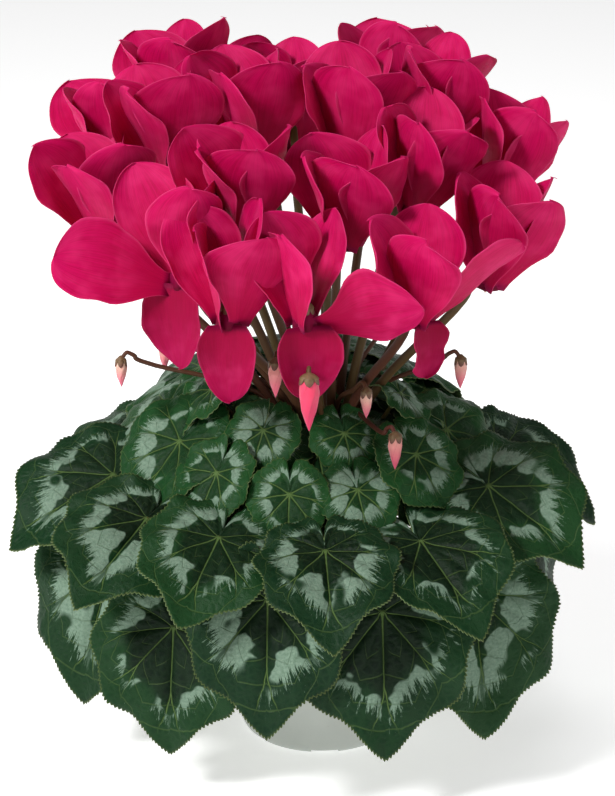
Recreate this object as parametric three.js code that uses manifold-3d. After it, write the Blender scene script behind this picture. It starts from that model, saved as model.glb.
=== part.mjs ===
// Potted cyclamen in flower: a white plastic pot, its compost, the tuber with every stalk that
// grows from it, marbled heart-shaped leaves in tiers, and a head of reflexed blooms and buds.
// Millimetres, +Z up, the viewer at -Y. The origin is the centre of the pot's base, on the table.

import * as THREE from "three";
import { mergeVertices } from "three/addons/utils/BufferGeometryUtils.js";
import Module from "manifold-3d";

const wasm = await Module();
wasm.setup();

// Driving dimensions
const CLEARANCE = 0.3; // between two pieces that touch
const pot = {
  height: 105, rim: 60, lip: 7, wall: 1.6, footOuter: 42, footInner: 35, centreFoot: 12,
  shoulderHeight: 22, shoulder: 50, floor: 3, notches: 6, notchWidth: 16, drains: 4, drainRadius: 4,
};
const soil = { top: 97, mound: 3 };
const tuber = { radius: 27, bottom: 84, top: 107, sides: 14 };
const crownHeight = 103; // where the stalks' sunk ends start
const neckHeight = 203; // where the flower stalks pass between the inner leaves
const blade = { thickness: 0.9, ringAt: 0.56, outlinePoints: 16, youngPoints: 8 };
const petal = { thickness: 0.8, length: 65, width: 46 };
const hangRoot = 2.5; // how deep a hanging petal is rooted in the tube
// Where the five petals stand round the mouth, in degrees from the side away from the pot's axis.
const petalTurns = [-12, 55, 122, -146, -79];
const turnsRoundHanging = [10, 74, 148, -112, -36];
const corolla = { radius: 9.6, mouth: 5, height: 10, sides: 5 };
const petiole = { radius: 1.7, sides: 3 };
const scape = { radius: 2, sides: 4 };
const hook = { behind: 12, rise: 19, calyxRadius: 5, calyxHeight: 3 }; // over each bloom

// Tiers of leaves from the pot's rim up to the flower stalks.
// heading and step are degrees round the pot, reach and height place the top of each petiole,
// droop is how far the tip points below the horizon, and point is 0 for a round leaf, 1 for a
// pointed one. Leaves stand higher by tilt and are longer by grow towards the back. A petiole
// climbs by rise over its root and comes to the blade from approach above.
const tiers = [
  { name: "collar", seed: 3465, count: 12, heading: -98, step: 30, reach: 80, height: 197, tilt: 0.17,
    length: 43, grow: 0.3, droop: 36, nod: 14, turn: 8, roll: 12, point: 0.12, bend: 120,
    rootRadius: 19.5, rise: 52, approach: -20 },
  { name: "shoulder", seed: 11810, count: 12, heading: -83, step: 30, reach: 114, height: 168, tilt: 0.08,
    length: 70, grow: 0.1, droop: 27, nod: 0, turn: 14, roll: 16, point: 0.9, bend: 260,
    rootRadius: 20.5, rise: 40, approach: -6 },
  { name: "skirt", seed: 15595, count: 12, heading: -98, step: 30, reach: 122, height: 119, tilt: 0, length: 76,
    grow: 0, droop: 73, nod: 0, turn: 26, roll: 8, point: 1, bend: 320, rootRadius: 22.5, rise: 30,
    approach: 12 },
];
const youngLeaves = { seed: 10960, count: 7, heading: -64, step: 51.4, reach: 54, height: 213,
  tilt: 0.12, length: 24, grow: 0, droop: 30, nod: 18, turn: 0, roll: 8, point: 0.1, bend: 70,
  rootRadius: 16.5, rise: 60, approach: -24 };
// Leaves that hang lower than their tier (or, below zero, higher), in millimetres.
const sag = { leaf_skirt_01: -16, leaf_skirt_02: -8, leaf_skirt_12: 16 };
const sway = -9; // how far the whole head of leaves and blooms leans to the left of the pot

// Blooms: x, y and height of the mouth and the lean away from the pot's axis in degrees. A bloom
// with a hang share lets its first petal hang over the stalk, that share of a petal long, and opens
// the others by the angles in spread.
const blooms = [
  { x: -66, y: -88, z: 304, lean: 8, hang: 0.7, spread: [0, 12, 20, 26, 62] },
  { x: -40, y: -114, z: 290, lean: 8, hang: 0.64, spread: [0, 22, 14, 22, 12] },
  { x: 0, y: -116, z: 290, lean: 8, hang: 0.66, spread: [0, 72, 24, 18, 14] },
  { x: 60, y: -102, z: 287, lean: 10, hang: 0.46, spread: [0, 44, 20, 20, 16] },
  { x: -34, y: -62, z: 322, lean: 8 },
  { x: 22, y: -62, z: 318, lean: 8 },
  { x: 100, y: -52, z: 292, lean: 12 },
  { x: 60, y: -34, z: 328, lean: 10 },
  { x: -108, y: -32, z: 310, lean: 12 },
  { x: -76, y: -14, z: 344, lean: 8 },
  { x: -30, y: -6, z: 350, lean: 4 },
  { x: 22, y: -6, z: 348, lean: 4 },
  { x: 106, y: 8, z: 322, lean: 14 },
  { x: 68, y: 20, z: 348, lean: 6 },
  { x: -70, y: 38, z: 355, lean: 8 },
  { x: -8, y: 50, z: 341, lean: 6 },
  { x: 46, y: 68, z: 350, lean: 10 },
  { x: -104, y: 62, z: 322, lean: 16 },
  { x: -46, y: 98, z: 330, lean: 16 },
  { x: 12, y: 112, z: 324, lean: 16 },
];

// Buds: x, y and height of the hook's top, and the length of the bud.
const buds = [
  { x: -104, y: -34, z: 246, length: 16 },
  { x: -80, y: -20, z: 252, length: 17 },
  { x: -16, y: -112, z: 272, length: 20 },
  { x: 2, y: -134, z: 271, length: 30 },
  { x: 34, y: -58, z: 236, length: 16 },
  { x: 50, y: -70, z: 214, length: 20 },
  { x: 88, y: -26, z: 244, length: 18 },
  { x: 60, y: 60, z: 246, length: 17 },
  { x: -40, y: 74, z: 240, length: 18 },
];

const degrees = THREE.MathUtils.degToRad;
const vec = (x, y, z) => new THREE.Vector3(x, y, z);

// A repeatable draw from -1 to 1 for piece i and quantity k.
function draw(i, k) {
  const s = Math.sin(i * 12.9898 + k * 78.233) * 43758.5453;
  return 2 * (s - Math.floor(s)) - 1;
}

function solidOf(geometry) {
  const bare = geometry.index ? geometry.toNonIndexed() : geometry.clone();
  const positions = new THREE.BufferGeometry();
  positions.setAttribute("position", bare.getAttribute("position"));
  const merged = mergeVertices(positions, 1e-4);
  const mesh = new wasm.Mesh({
    numProp: 3,
    vertProperties: merged.attributes.position.array,
    triVerts: new Uint32Array(merged.index.array),
  });
  return new wasm.Manifold(mesh);
}

function geometryOf(solid) {
  const mesh = solid.getMesh();
  const positions = new Float32Array(mesh.numVert * 3);
  for (let i = 0; i < mesh.numVert; i++) {
    positions.set(mesh.vertProperties.subarray(i * mesh.numProp, i * mesh.numProp + 3), i * 3);
  }
  const geometry = new THREE.BufferGeometry();
  geometry.setAttribute("position", new THREE.BufferAttribute(positions, 3));
  geometry.setIndex(new THREE.BufferAttribute(mesh.triVerts, 1));
  return geometry;
}

// The largest body of a solid: a loose scrap is dropped.
function largest(solid) {
  return solid.decompose().reduce((a, b) => (b.volume() > a.volume() ? b : a));
}

function fuse(solids) {
  return solids.reduce((a, b) => a.add(b));
}

// A thin closed body: the surface's points are moved both ways along their normals, and the two
// faces are split into the same triangles and joined round the open edges.
function sheetSolid(points, faces, thickness) {
  const normals = points.map(() => vec(0, 0, 0));
  for (const [a, b, c] of faces) {
    const across = points[b].clone().sub(points[a]);
    const normal = across.cross(points[c].clone().sub(points[a]));
    for (const i of [a, b, c]) normals[i].add(normal);
  }
  const offset = normals.map((n) => n.normalize().multiplyScalar(thickness / 2));
  const front = points.map((p, i) => p.clone().add(offset[i]));
  const back = points.map((p, i) => p.clone().sub(offset[i]));
  const edges = new Set(faces.flatMap(([a, b, c]) => [`${a},${b}`, `${b},${c}`, `${c},${a}`]));
  const vertices = [...front, ...back];
  const n = points.length;
  const index = [];
  for (const [a, b, c] of faces) index.push(a, b, c, n + a, n + c, n + b);
  for (const edge of edges) {
    const [a, b] = edge.split(",").map(Number);
    if (!edges.has(`${b},${a}`)) index.push(a, n + a, b, b, n + a, n + b);
  }
  const geometry = new THREE.BufferGeometry().setFromPoints(vertices);
  geometry.setIndex(index);
  return solidOf(geometry);
}

// A curve whose steps fall on its own points, so that tight bends get more of them.
class StalkPath extends THREE.CatmullRomCurve3 {
  getPointAt(t, target) {
    return this.getPoint(t, target);
  }
  getTangentAt(t, target) {
    return this.getTangent(t, target);
  }
}

function tubeSolid(points, radius, sides) {
  const section = new THREE.Shape();
  for (let k = 0; k < sides; k++) {
    const angle = (2 * Math.PI * k) / sides;
    const [x, y] = [radius * Math.cos(angle), radius * Math.sin(angle)];
    if (k) section.lineTo(x, y);
    else section.moveTo(x, y);
  }
  section.closePath();
  const path = new StalkPath(points);
  return solidOf(new THREE.ExtrudeGeometry(section, { steps: points.length - 1, extrudePath: path }));
}

// Leaves
// R(angle) of the outline from the top of the petiole, as a share of the leaf's length.
function outline(angle, leaf) {
  const a = Math.abs(angle);
  const heart = 0.42 + 0.35 * ((1 + Math.cos(a)) / 2) ** 1.1 + 0.23 * Math.exp(-a / 0.35);
  const round = 0.93 + 0.07 * Math.cos(a);
  const lobes = 1 + (0.02 + 0.025 * leaf.point) * Math.cos(9 * a);
  const body = (round + (heart - round) * leaf.point) * lobes;
  const behind = (a - (Math.PI - leaf.sinus)) / leaf.sinus;
  return behind > 0 ? body + (0.1 - body) * behind : body;
}

// Height of the blade over its own plane at x across and y towards the tip.
function relief(x, y, angle, share, leaf) {
  const droop = -(y * y) / (2 * leaf.bend) - (x * x) / (2 * leaf.bend * 1.3);
  const fold = leaf.fold * Math.abs(x);
  const wave = leaf.wave * share ** 3 * Math.sin(leaf.waves * angle + leaf.phase);
  return droop + fold + wave;
}

function leafFrame(leaf) {
  const aim = degrees(leaf.heading + leaf.swing);
  const droop = degrees(leaf.droop);
  const tip = vec(Math.cos(aim) * Math.cos(droop), Math.sin(aim) * Math.cos(droop), -Math.sin(droop));
  const up = vec(Math.cos(aim) * Math.sin(droop), Math.sin(aim) * Math.sin(droop), Math.cos(droop));
  up.applyAxisAngle(tip, degrees(leaf.roll));
  const heading = degrees(leaf.heading);
  const top = vec(sway + leaf.reach * Math.cos(heading), leaf.reach * Math.sin(heading), leaf.height);
  return { top, tip, up, side: tip.clone().cross(up) };
}

function bladePoint(leaf, frame, angle, share, grow) {
  const r = share * (outline(angle, leaf) * leaf.length + grow);
  const [x, y] = [r * Math.sin(angle), r * Math.cos(angle)];
  return frame.top.clone()
    .addScaledVector(frame.side, x)
    .addScaledVector(frame.tip, y)
    .addScaledVector(frame.up, relief(x, y, angle, share, leaf));
}

function bladeSolid(leaf, grow = 0, n = blade.outlinePoints) {
  const frame = leafFrame(leaf);
  const besideSinus = [n / 2 - 1, n / 2 + 1];
  const angles = Array.from({ length: n }, (_, k) => {
    const a = (2 * Math.PI * k) / n;
    const signed = a > Math.PI ? a - 2 * Math.PI : a;
    return besideSinus.includes(k) ? Math.sign(signed) * (Math.PI - leaf.sinus) : signed;
  });
  const points = [frame.top.clone()];
  for (let k = 0; k < n; k += 2) points.push(bladePoint(leaf, frame, angles[k], blade.ringAt, grow));
  for (let k = 0; k < n; k++) points.push(bladePoint(leaf, frame, angles[k], 1, grow));
  const ring = n / 2;
  const inner = (j) => 1 + (j % ring);
  const outer = (k) => 1 + ring + (k % n);
  const faces = [];
  for (let j = 0; j < ring; j++) {
    faces.push([0, inner(j + 1), inner(j)]);
    faces.push([inner(j), outer(2 * j + 1), outer(2 * j)]);
    faces.push([inner(j), inner(j + 1), outer(2 * j + 1)]);
    faces.push([inner(j + 1), outer(2 * j + 2), outer(2 * j + 1)]);
  }
  return sheetSolid(points, faces, blade.thickness + 2 * grow);
}

// Petiole: from the tuber, up and out, to the underside of the blade.
function petiolePoints(leaf) {
  const { top, up } = leafFrame(leaf);
  const heading = degrees(leaf.heading);
  const root = vec(leaf.rootRadius * Math.cos(heading), leaf.rootRadius * Math.sin(heading), leaf.rootHeight);
  const end = top.clone().addScaledVector(up, -(blade.thickness / 2 + 2 * CLEARANCE));
  const rise = root.clone().add(vec(0, 0, leaf.rise));
  const back = 0.28 * leaf.reach;
  const before = end.clone().add(vec(-back * Math.cos(heading), -back * Math.sin(heading), leaf.approach));
  const curve = new THREE.CubicBezierCurve3(root, rise, before, end);
  return [0, 0.3, 0.62, 1].map((t) => curve.getPoint(t));
}

function leavesOf(tier) {
  return Array.from({ length: tier.count }, (_, k) => {
    const i = tier.seed + k;
    const name = `leaf_${tier.name}_${String(k + 1).padStart(2, "0")}`;
    const heading = tier.heading + tier.step * k + 3 * draw(i, 1);
    const behind = Math.sin(degrees(heading));
    return {
      name,
      heading,
      reach: tier.reach + 4 * draw(i, 2),
      height: tier.height + tier.tilt * tier.reach * behind + 5 * draw(i, 3) - (sag[name] ?? 0),
      length: tier.length * (1 + tier.grow * behind + 0.1 * draw(i, 4)),
      droop: tier.droop - tier.nod * behind + 7 * draw(i, 5),
      swing: 9 * draw(i, 6) - tier.turn * Math.cos(degrees(heading)),
      roll: tier.roll * Math.cos(degrees(heading)) + 6 * draw(i, 7),
      point: THREE.MathUtils.clamp(tier.point + 0.15 * draw(i, 8), 0, 1),
      sinus: degrees(9 + 8 * tier.point),
      bend: tier.bend * (1 + 0.2 * draw(i, 9)),
      fold: 0.07 + 0.08 * draw(i, 10),
      wave: (1.6 + 0.8 * draw(i, 11)) * (0.6 + tier.point),
      waves: 3 + (i % 3),
      phase: 3 * draw(i, 12),
      rootRadius: tier.rootRadius,
      rootHeight: tier.rootHeight ?? crownHeight,
      rise: tier.rise,
      approach: tier.approach,
    };
  });
}

// Blooms
// The bloom's own frame: +Z along its axis towards the petals' tips, +X away from the pot's axis.
function bloomFrame(bloom) {
  const heading = Math.atan2(bloom.y, bloom.x);
  const lean = degrees(bloom.lean);
  const matrix = new THREE.Matrix4().makeRotationZ(heading);
  matrix.multiply(new THREE.Matrix4().makeRotationY(lean));
  matrix.setPosition(sway + bloom.x, bloom.y, bloom.z);
  return matrix;
}

function petalWidth(q, shape) {
  if (shape.hang && q < 0.25) return 0.45 + 0.5 * Math.sin(2 * Math.PI * q);
  if (shape.hang) return 0.95 - 0.8 * ((q - 0.25) / 0.75) ** 1.4;
  const widest = 0.65;
  if (q < widest) return 0.24 + 0.76 * THREE.MathUtils.smoothstep(q, 0, widest);
  return (1 - ((q - widest) / (1 - widest)) ** 2.1) ** 0.6;
}

// A point of a petal at u across (-1 to 1) and q along (0 at the mouth's lip, 1 at the tip).
function petalPoint(shape, u, q) {
  const flare = degrees(shape.flare);
  const s = q * shape.length - (shape.hang ? hangRoot : 0);
  const curl = (shape.curl * s * s) / shape.length;
  const out = shape.lip + s * Math.sin(flare) + curl * Math.cos(flare);
  const up = s * Math.cos(flare) - curl * Math.sin(flare);
  const half = (petalWidth(q, shape) * shape.width) / 2;
  const w = u * half;
  const twist = degrees(shape.twist);
  const bow = (-shape.cup * w * w) / (shape.width / 2) + w * Math.sin(twist);
  const across = w * Math.cos(twist);
  const point = vec(out + bow * Math.cos(flare), across, up - bow * Math.sin(flare));
  return point.applyAxisAngle(vec(0, 0, 1), degrees(shape.turn));
}

function petalShapes(bloom, i) {
  return Array.from({ length: 5 }, (_, k) => {
    const seed = 100 + 7 * i + k;
    const hang = Boolean(bloom.hang) && k === 0;
    const spread = bloom.hang ? bloom.spread[k] : 19;
    return {
      hang,
      turn: (bloom.hang ? turnsRoundHanging : petalTurns)[k] + 2 * draw(seed, 1),
      flare: hang ? 168 : spread + 2 * draw(seed, 2),
      curl: hang ? 0.06 : 0.02 + 0.04 * draw(seed, 3),
      twist: hang ? 0 : 17 + 0.75 * spread + 3 * draw(seed, 4),
      cup: hang ? 0.5 : 0.24 + 0.06 * draw(seed, 5),
      length: (hang ? bloom.hang : 1) * petal.length * (1 + 0.07 * draw(seed, 6)),
      width: (hang ? 0.3 + 0.65 * bloom.hang : 1) * petal.width * (1 + 0.07 * draw(seed, 7)),
      lip: 6.5,
    };
  });
}

function petalSolid(shape, grow = 0) {
  const rows = [
    [0.0, [-1, 1]],
    [0.35, [-1, 0, 1]],
    [0.74, [-1, 0, 1]],
    [0.98, [-1, 1]],
  ];
  const points = [];
  const at = rows.map(([q, us]) => us.map((u) => points.push(petalPoint(shape, u, q)) - 1));
  const faces = [];
  faces.push([at[0][0], at[1][0], at[1][1]], [at[0][0], at[1][1], at[0][1]], [at[0][1], at[1][1], at[1][2]]);
  for (let c = 0; c < 2; c++) {
    faces.push([at[1][c], at[2][c], at[2][c + 1]]);
    faces.push([at[1][c], at[2][c + 1], at[1][c + 1]]);
  }
  faces.push([at[2][0], at[3][0], at[2][1]], [at[2][1], at[3][0], at[3][1]], [at[2][1], at[3][1], at[2][2]]);
  return sheetSolid(points, faces, petal.thickness + 2 * grow);
}

// The short corolla tube: its mouth opens downwards and its dome carries the calyx.
function corollaSolid(grow) {
  const { radius, mouth, height, sides } = corolla;
  const profile = [[0, 2.5], [mouth, -0.5 - grow], [radius + grow, -1.5 - grow], [6 + grow, height - 2 + grow],
    [0, height + grow]];
  return solidOf(new THREE.LatheGeometry(profile.map(([r, z]) => new THREE.Vector2(r, z)), sides)
    .rotateX(Math.PI / 2).rotateZ(degrees(42)));
}

function bloomSolid(bloom, i, grow = 0) {
  const parts = [corollaSolid(grow), ...petalShapes(bloom, i).map((shape) => petalSolid(shape, grow))];
  return fuse(parts).transform(bloomFrame(bloom).elements);
}

// Flower stalk: from the tuber between the inner leaves, up behind the bloom, over in a hook and
// down to the calyx on top of the corolla tube.
function scapePoints(target, frame, behind, rise, drop, end) {
  const root = vec(0.1 * target.x, 0.1 * target.y, crownHeight);
  const neck = vec(0.24 * target.x, 0.24 * target.y, neckHeight);
  const steep = drop / 14;
  const below = vec(-behind - 8 + 4 * steep, 0, -6 * steep).applyMatrix4(frame);
  const beside = vec(-behind, 0, 0.35 * (rise - 7)).applyMatrix4(frame);
  const turn = vec(-behind * 0.75, 0, 0.8 * rise - 1).applyMatrix4(frame);
  const top = vec(-behind * 0.4, 0, rise).applyMatrix4(frame);
  const seat = vec(0, 0, end).applyMatrix4(frame);
  return [root, neck, below, beside, turn, top, seat];
}

function calyxSolid(bottom) {
  const profile = [[0, 0], [hook.calyxRadius, 0], [2.2, hook.calyxHeight], [0, hook.calyxHeight]];
  return solidOf(new THREE.LatheGeometry(profile.map(([r, z]) => new THREE.Vector2(r, z + bottom)), 5)
    .rotateX(Math.PI / 2));
}

function scapeSolid(bloom, grow = 0) {
  const frame = bloomFrame(bloom);
  const seat = corolla.height + CLEARANCE;
  const points = scapePoints(bloom, frame, hook.behind, hook.rise, 30, seat + hook.calyxHeight - 1);
  const stalk = tubeSolid(points, scape.radius + grow, scape.sides);
  return grow ? stalk : stalk.add(calyxSolid(seat).transform(frame.elements));
}

// Buds hang point down from their own hooks.
function budSolid(bud, grow = 0) {
  const frame = new THREE.Matrix4().makeRotationZ(Math.atan2(bud.y, bud.x));
  frame.setPosition(sway + bud.x, bud.y, bud.z);
  const stalk = tubeSolid(scapePoints(bud, frame, 8, 0, 14, -6), 1.3 + grow, scape.sides);
  const r = 0.16 * bud.length + 1 + grow;
  const profile = [[0, -bud.length - 4], [0.55 * r, -0.72 * bud.length - 4], [r, -0.3 * bud.length - 4],
    [0.8 * r, -5], [0, -3]];
  const head = solidOf(new THREE.LatheGeometry(profile.map(([x, z]) => new THREE.Vector2(x, z)), 6)
    .rotateX(Math.PI / 2));
  return stalk.add(head.transform(frame.elements));
}

// Pot and soil
const shoulderArc = (t) => {
  const angle = (t * Math.PI) / 2;
  const radius = pot.footOuter + (pot.shoulder - pot.footOuter) * Math.sin(angle);
  return [radius, pot.shoulderHeight * (1 - Math.cos(angle))];
};

function latheSolid(profile, segments) {
  const points = profile.map(([r, z]) => new THREE.Vector2(r, z));
  return solidOf(new THREE.LatheGeometry([...points, points[0].clone()], segments).rotateX(Math.PI / 2));
}

const wallRadius = (z) => {
  const share = (z - pot.shoulderHeight) / (pot.height - pot.shoulderHeight);
  return pot.shoulder + (pot.rim - 2 - pot.shoulder) * share;
};

function potSolid() {
  const inside = (z) => wallRadius(z) - pot.wall;
  const profile = [
    [0, 0], [pot.centreFoot, 0], [pot.centreFoot + 1, pot.floor], [pot.footInner - 1, pot.floor],
    [pot.footInner, 0],
    [pot.footOuter, 0], shoulderArc(0.4), shoulderArc(0.72), shoulderArc(1),
    [wallRadius(pot.height - pot.lip), pot.height - pot.lip],
    [pot.rim - 0.6, pot.height - pot.lip + 0.8],
    [pot.rim, pot.height - 0.8], [pot.rim - 1, pot.height], [inside(pot.height), pot.height - 0.5],
    [inside(pot.shoulderHeight), pot.shoulderHeight], [pot.footOuter + 1, pot.floor + 5],
    [pot.footOuter - 4, pot.floor + 2],
    [0, pot.floor + 2],
  ];
  let solid = latheSolid(profile, 28);
  for (let k = 0; k < pot.notches; k++) {
    const angle = degrees(-87) + (2 * Math.PI * k) / pot.notches;
    const channel = new THREE.BoxGeometry(14, pot.notchWidth, 5)
      .translate(pot.footOuter, 0, 0).rotateZ(angle);
    solid = solid.subtract(solidOf(channel));
  }
  for (let k = 0; k < pot.drains; k++) {
    const angle = (2 * Math.PI * k) / pot.drains;
    const drain = new THREE.CylinderGeometry(pot.drainRadius, pot.drainRadius, 12, 8)
      .rotateX(Math.PI / 2).translate(24 * Math.cos(angle), 24 * Math.sin(angle), pot.floor);
    solid = solid.subtract(solidOf(drain));
  }
  return largest(solid);
}

function tuberProfile(grow) {
  const middle = (tuber.top + tuber.bottom) / 2;
  return [
    [0, tuber.bottom - grow], [0.7 * tuber.radius, tuber.bottom + 2.5 - grow],
    [tuber.radius + grow, middle], [0.86 * tuber.radius, tuber.top - 2.5 + grow], [0, tuber.top + grow],
  ];
}

function soilSolid() {
  const gap = 0.4;
  const dish = latheSolid(tuberProfile(CLEARANCE), tuber.sides);
  const profile = [
    [0, pot.floor + 2 + gap], [pot.footOuter - 5, pot.floor + 2 + gap], [pot.footOuter + 0.4, pot.floor + 6],
    [wallRadius(pot.shoulderHeight) - pot.wall - 2 * gap, pot.shoulderHeight],
    [wallRadius(soil.top) - pot.wall - 2 * gap, soil.top], [40, soil.top + 0.6 * soil.mound],
    [20, soil.top + soil.mound], [0, soil.top + soil.mound],
  ];
  return largest(latheSolid(profile, 24).subtract(dish));
}

// Assembly
const plant = new THREE.Group();
const finish = {
  pot: new THREE.MeshStandardMaterial({ color: 0xd6d9d2, roughness: 0.45, metalness: 0 }),
  soil: new THREE.MeshStandardMaterial({ color: 0x33241a, roughness: 0.95, metalness: 0 }),
  stalk: new THREE.MeshStandardMaterial({ color: 0x6b3a26, roughness: 0.55, metalness: 0 }),
  leaf: new THREE.MeshStandardMaterial({ color: 0x2f5a3c, roughness: 0.5, metalness: 0 }),
  petal: new THREE.MeshStandardMaterial({ color: 0xc4104e, roughness: 0.6, metalness: 0 }),
};
function place(name, solid, material) {
  const mesh = new THREE.Mesh(geometryOf(solid), material);
  mesh.name = name;
  plant.add(mesh);
}

// What crosses a piece already placed is trimmed back from it by the clearance.
function trimmed(solid, blockers) {
  const box = solid.boundingBox();
  const near = (b) => [0, 1, 2].every((k) => b.min[k] < box.max[k] && b.max[k] > box.min[k]);
  let rest = solid;
  for (const blocker of blockers) {
    if (near(blocker.box) && rest.intersect(blocker.solid).volume() > 1e-4) rest = rest.subtract(blocker.solid);
  }
  return rest === solid ? solid : largest(rest);
}
const blockerOf = (solid) => ({ solid, box: solid.boundingBox() });
// A sharply folded sheet can poke out of its own thicker copy, so both stand in the way.
const blockersOf = (make, clearance) => [make(clearance), make(0)].map(blockerOf);

const leaves = tiers.flatMap(leavesOf);
const young = leavesOf({ ...youngLeaves, name: "young", rootHeight: tuber.top + 1.5 });

place("pot", potSolid(), finish.pot);
place("soil", soilSolid(), finish.soil);

const stalkPieces = (grow) => [
  ...leaves.map((leaf) => tubeSolid(petiolePoints(leaf), petiole.radius + grow, petiole.sides)),
  ...blooms.map((bloom) => scapeSolid(bloom, grow)),
  ...buds.map((bud) => budSolid(bud, grow)),
];
const tuberBody = latheSolid(tuberProfile(0), tuber.sides);
place("tuber_and_stalks", largest(fuse([tuberBody, ...stalkPieces(0)])), finish.stalk);

const blockers = stalkPieces(CLEARANCE + 0.05).map(blockerOf);
const youngRoot = latheSolid([
  [15.5, tuber.top + CLEARANCE], [17.5, tuber.top + CLEARANCE], [17.4, tuber.top + 3], [15.6, tuber.top + 3],
], 12);
const youngPieces = (grow) => young.flatMap((leaf) => [
  bladeSolid(leaf, grow, blade.youngPoints),
  tubeSolid([...petiolePoints(leaf), leafFrame(leaf).top], petiole.radius + grow, petiole.sides),
]);
place("young_leaves", trimmed(fuse([youngRoot, ...youngPieces(0)]), blockers), finish.leaf);
blockers.push(...blockersOf((grow) => fuse(youngPieces(grow)), CLEARANCE + 0.05));

for (const leaf of leaves) {
  place(leaf.name, trimmed(bladeSolid(leaf), blockers), finish.leaf);
  blockers.push(...blockersOf((grow) => bladeSolid(leaf, grow), CLEARANCE));
}
blooms.forEach((bloom, i) => {
  place(`bloom_${String(i + 1).padStart(2, "0")}`, trimmed(bloomSolid(bloom, i), blockers), finish.petal);
  blockers.push(...blockersOf((grow) => bloomSolid(bloom, i, grow), CLEARANCE));
});

export default plant;
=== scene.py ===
"""Potted cyclamen in flower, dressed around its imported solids.

Sizes are in millimetres until a mesh is made, where MM turns them into metres. The frame is the
part's own: the origin is the centre of the pot's base, +Z is up and the viewer stands at -Y.
The rules that place leaves, blooms, buds and stalks are those of the solids, drawn finer.
"""

import math
from types import SimpleNamespace as Named

import bmesh
import bpy
import numpy as np
from mathutils import Matrix, Vector


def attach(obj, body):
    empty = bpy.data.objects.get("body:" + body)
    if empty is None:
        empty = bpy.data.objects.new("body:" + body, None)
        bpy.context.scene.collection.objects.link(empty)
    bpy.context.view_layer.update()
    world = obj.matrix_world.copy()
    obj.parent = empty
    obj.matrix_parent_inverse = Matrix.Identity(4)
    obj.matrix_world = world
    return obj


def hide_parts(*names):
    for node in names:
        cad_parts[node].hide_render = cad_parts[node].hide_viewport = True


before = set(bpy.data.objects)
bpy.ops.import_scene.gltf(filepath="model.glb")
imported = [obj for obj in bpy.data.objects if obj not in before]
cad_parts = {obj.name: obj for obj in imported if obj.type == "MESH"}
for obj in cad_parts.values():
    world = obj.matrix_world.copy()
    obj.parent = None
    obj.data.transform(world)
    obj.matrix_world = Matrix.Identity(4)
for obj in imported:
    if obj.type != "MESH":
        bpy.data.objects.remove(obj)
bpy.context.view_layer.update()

MM = 0.001
UP = np.array([0.0, 0.0, 1.0])

# ---- sizes shared with the solids
POT = Named(height=105, rim=60, lip=7, wall=1.6, foot_outer=42, foot_inner=35, centre_foot=12,
            shoulder_height=22, shoulder=50, floor=3, notches=6, notch_turn=-87,
            notch_size=(14, 16, 5), drains=4, drain_turn=45, drain_ring=24, drain_radius=4)
SOIL_TOP = 97
TUBER = Named(radius=27, bottom=84, top=107)
CLEARANCE = 0.3
CROWN_HEIGHT = 103
NECK_HEIGHT = 203
BLADE_THICKNESS = 0.9
PETAL = Named(thickness=0.5, length=65, width=47.5, foot=6)
PETIOLE_RADIUS = 1.7
SCAPE_RADIUS = 2.0
BUD_STALK_RADIUS = 1.3
COROLLA_HEIGHT = 10
SEAT_HEIGHT = COROLLA_HEIGHT + CLEARANCE  # of a bloom's calyx above its mouth
HOOK = dict(behind=12, rise=19, drop=30, end=SEAT_HEIGHT + 2.0)
BUD_HOOK = dict(behind=8, rise=0, drop=14, end=-4)
SWAY = -9  # how far the crown stands to the left of the pot's axis

TIERS = [
    Named(name="collar", seed=3465, count=12, heading=-98, step=30, reach=80, height=197,
          tilt=0.17, length=43, grow=0.3, droop=36, nod=14, turn=8, roll=12, point=0.12, bend=120,
          root_radius=19.5, rise=52, approach=-20),
    Named(name="shoulder", seed=11810, count=12, heading=-83, step=30, reach=114, height=168,
          tilt=0.08, length=70, grow=0.1, droop=27, nod=0, turn=14, roll=16, point=0.9, bend=260,
          root_radius=20.5, rise=40, approach=-6),
    Named(name="skirt", seed=15595, count=12, heading=-98, step=30, reach=122, height=119,
          tilt=0, length=76, grow=0, droop=73, nod=0, turn=26, roll=8, point=1, bend=320,
          root_radius=22.5, rise=30, approach=12),
]
YOUNG = Named(name="young", seed=10960, count=7, heading=-64, step=51.4, reach=54, height=213,
              tilt=0.12, length=24, grow=0, droop=30, nod=18, turn=0, roll=8, point=0.1, bend=70,
              root_radius=16.5, rise=60, approach=-24, root_height=TUBER.top + 1.5)
# two rings of leaves inside the dome, seen only through its gaps; the solids don't have them
INNER = [
    Named(name="inner", seed=5210, count=9, heading=-38, step=40, reach=47, height=199, tilt=0.12,
          length=34, grow=0, droop=22, nod=10, turn=0, roll=8, point=0.3, bend=90,
          root_radius=18, rise=56, approach=-24),
    Named(name="lower", seed=5230, count=6, heading=-70, step=60, reach=64, height=152, tilt=0,
          length=38, grow=0, droop=26, nod=0, turn=0, roll=10, point=0.7, bend=160,
          root_radius=21, rise=30, approach=-10),
]
# how far single leaves hang below their tier; less than nothing raises them
SAG = {"leaf_skirt_01": -16, "leaf_skirt_02": -8, "leaf_skirt_12": 16}

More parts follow.
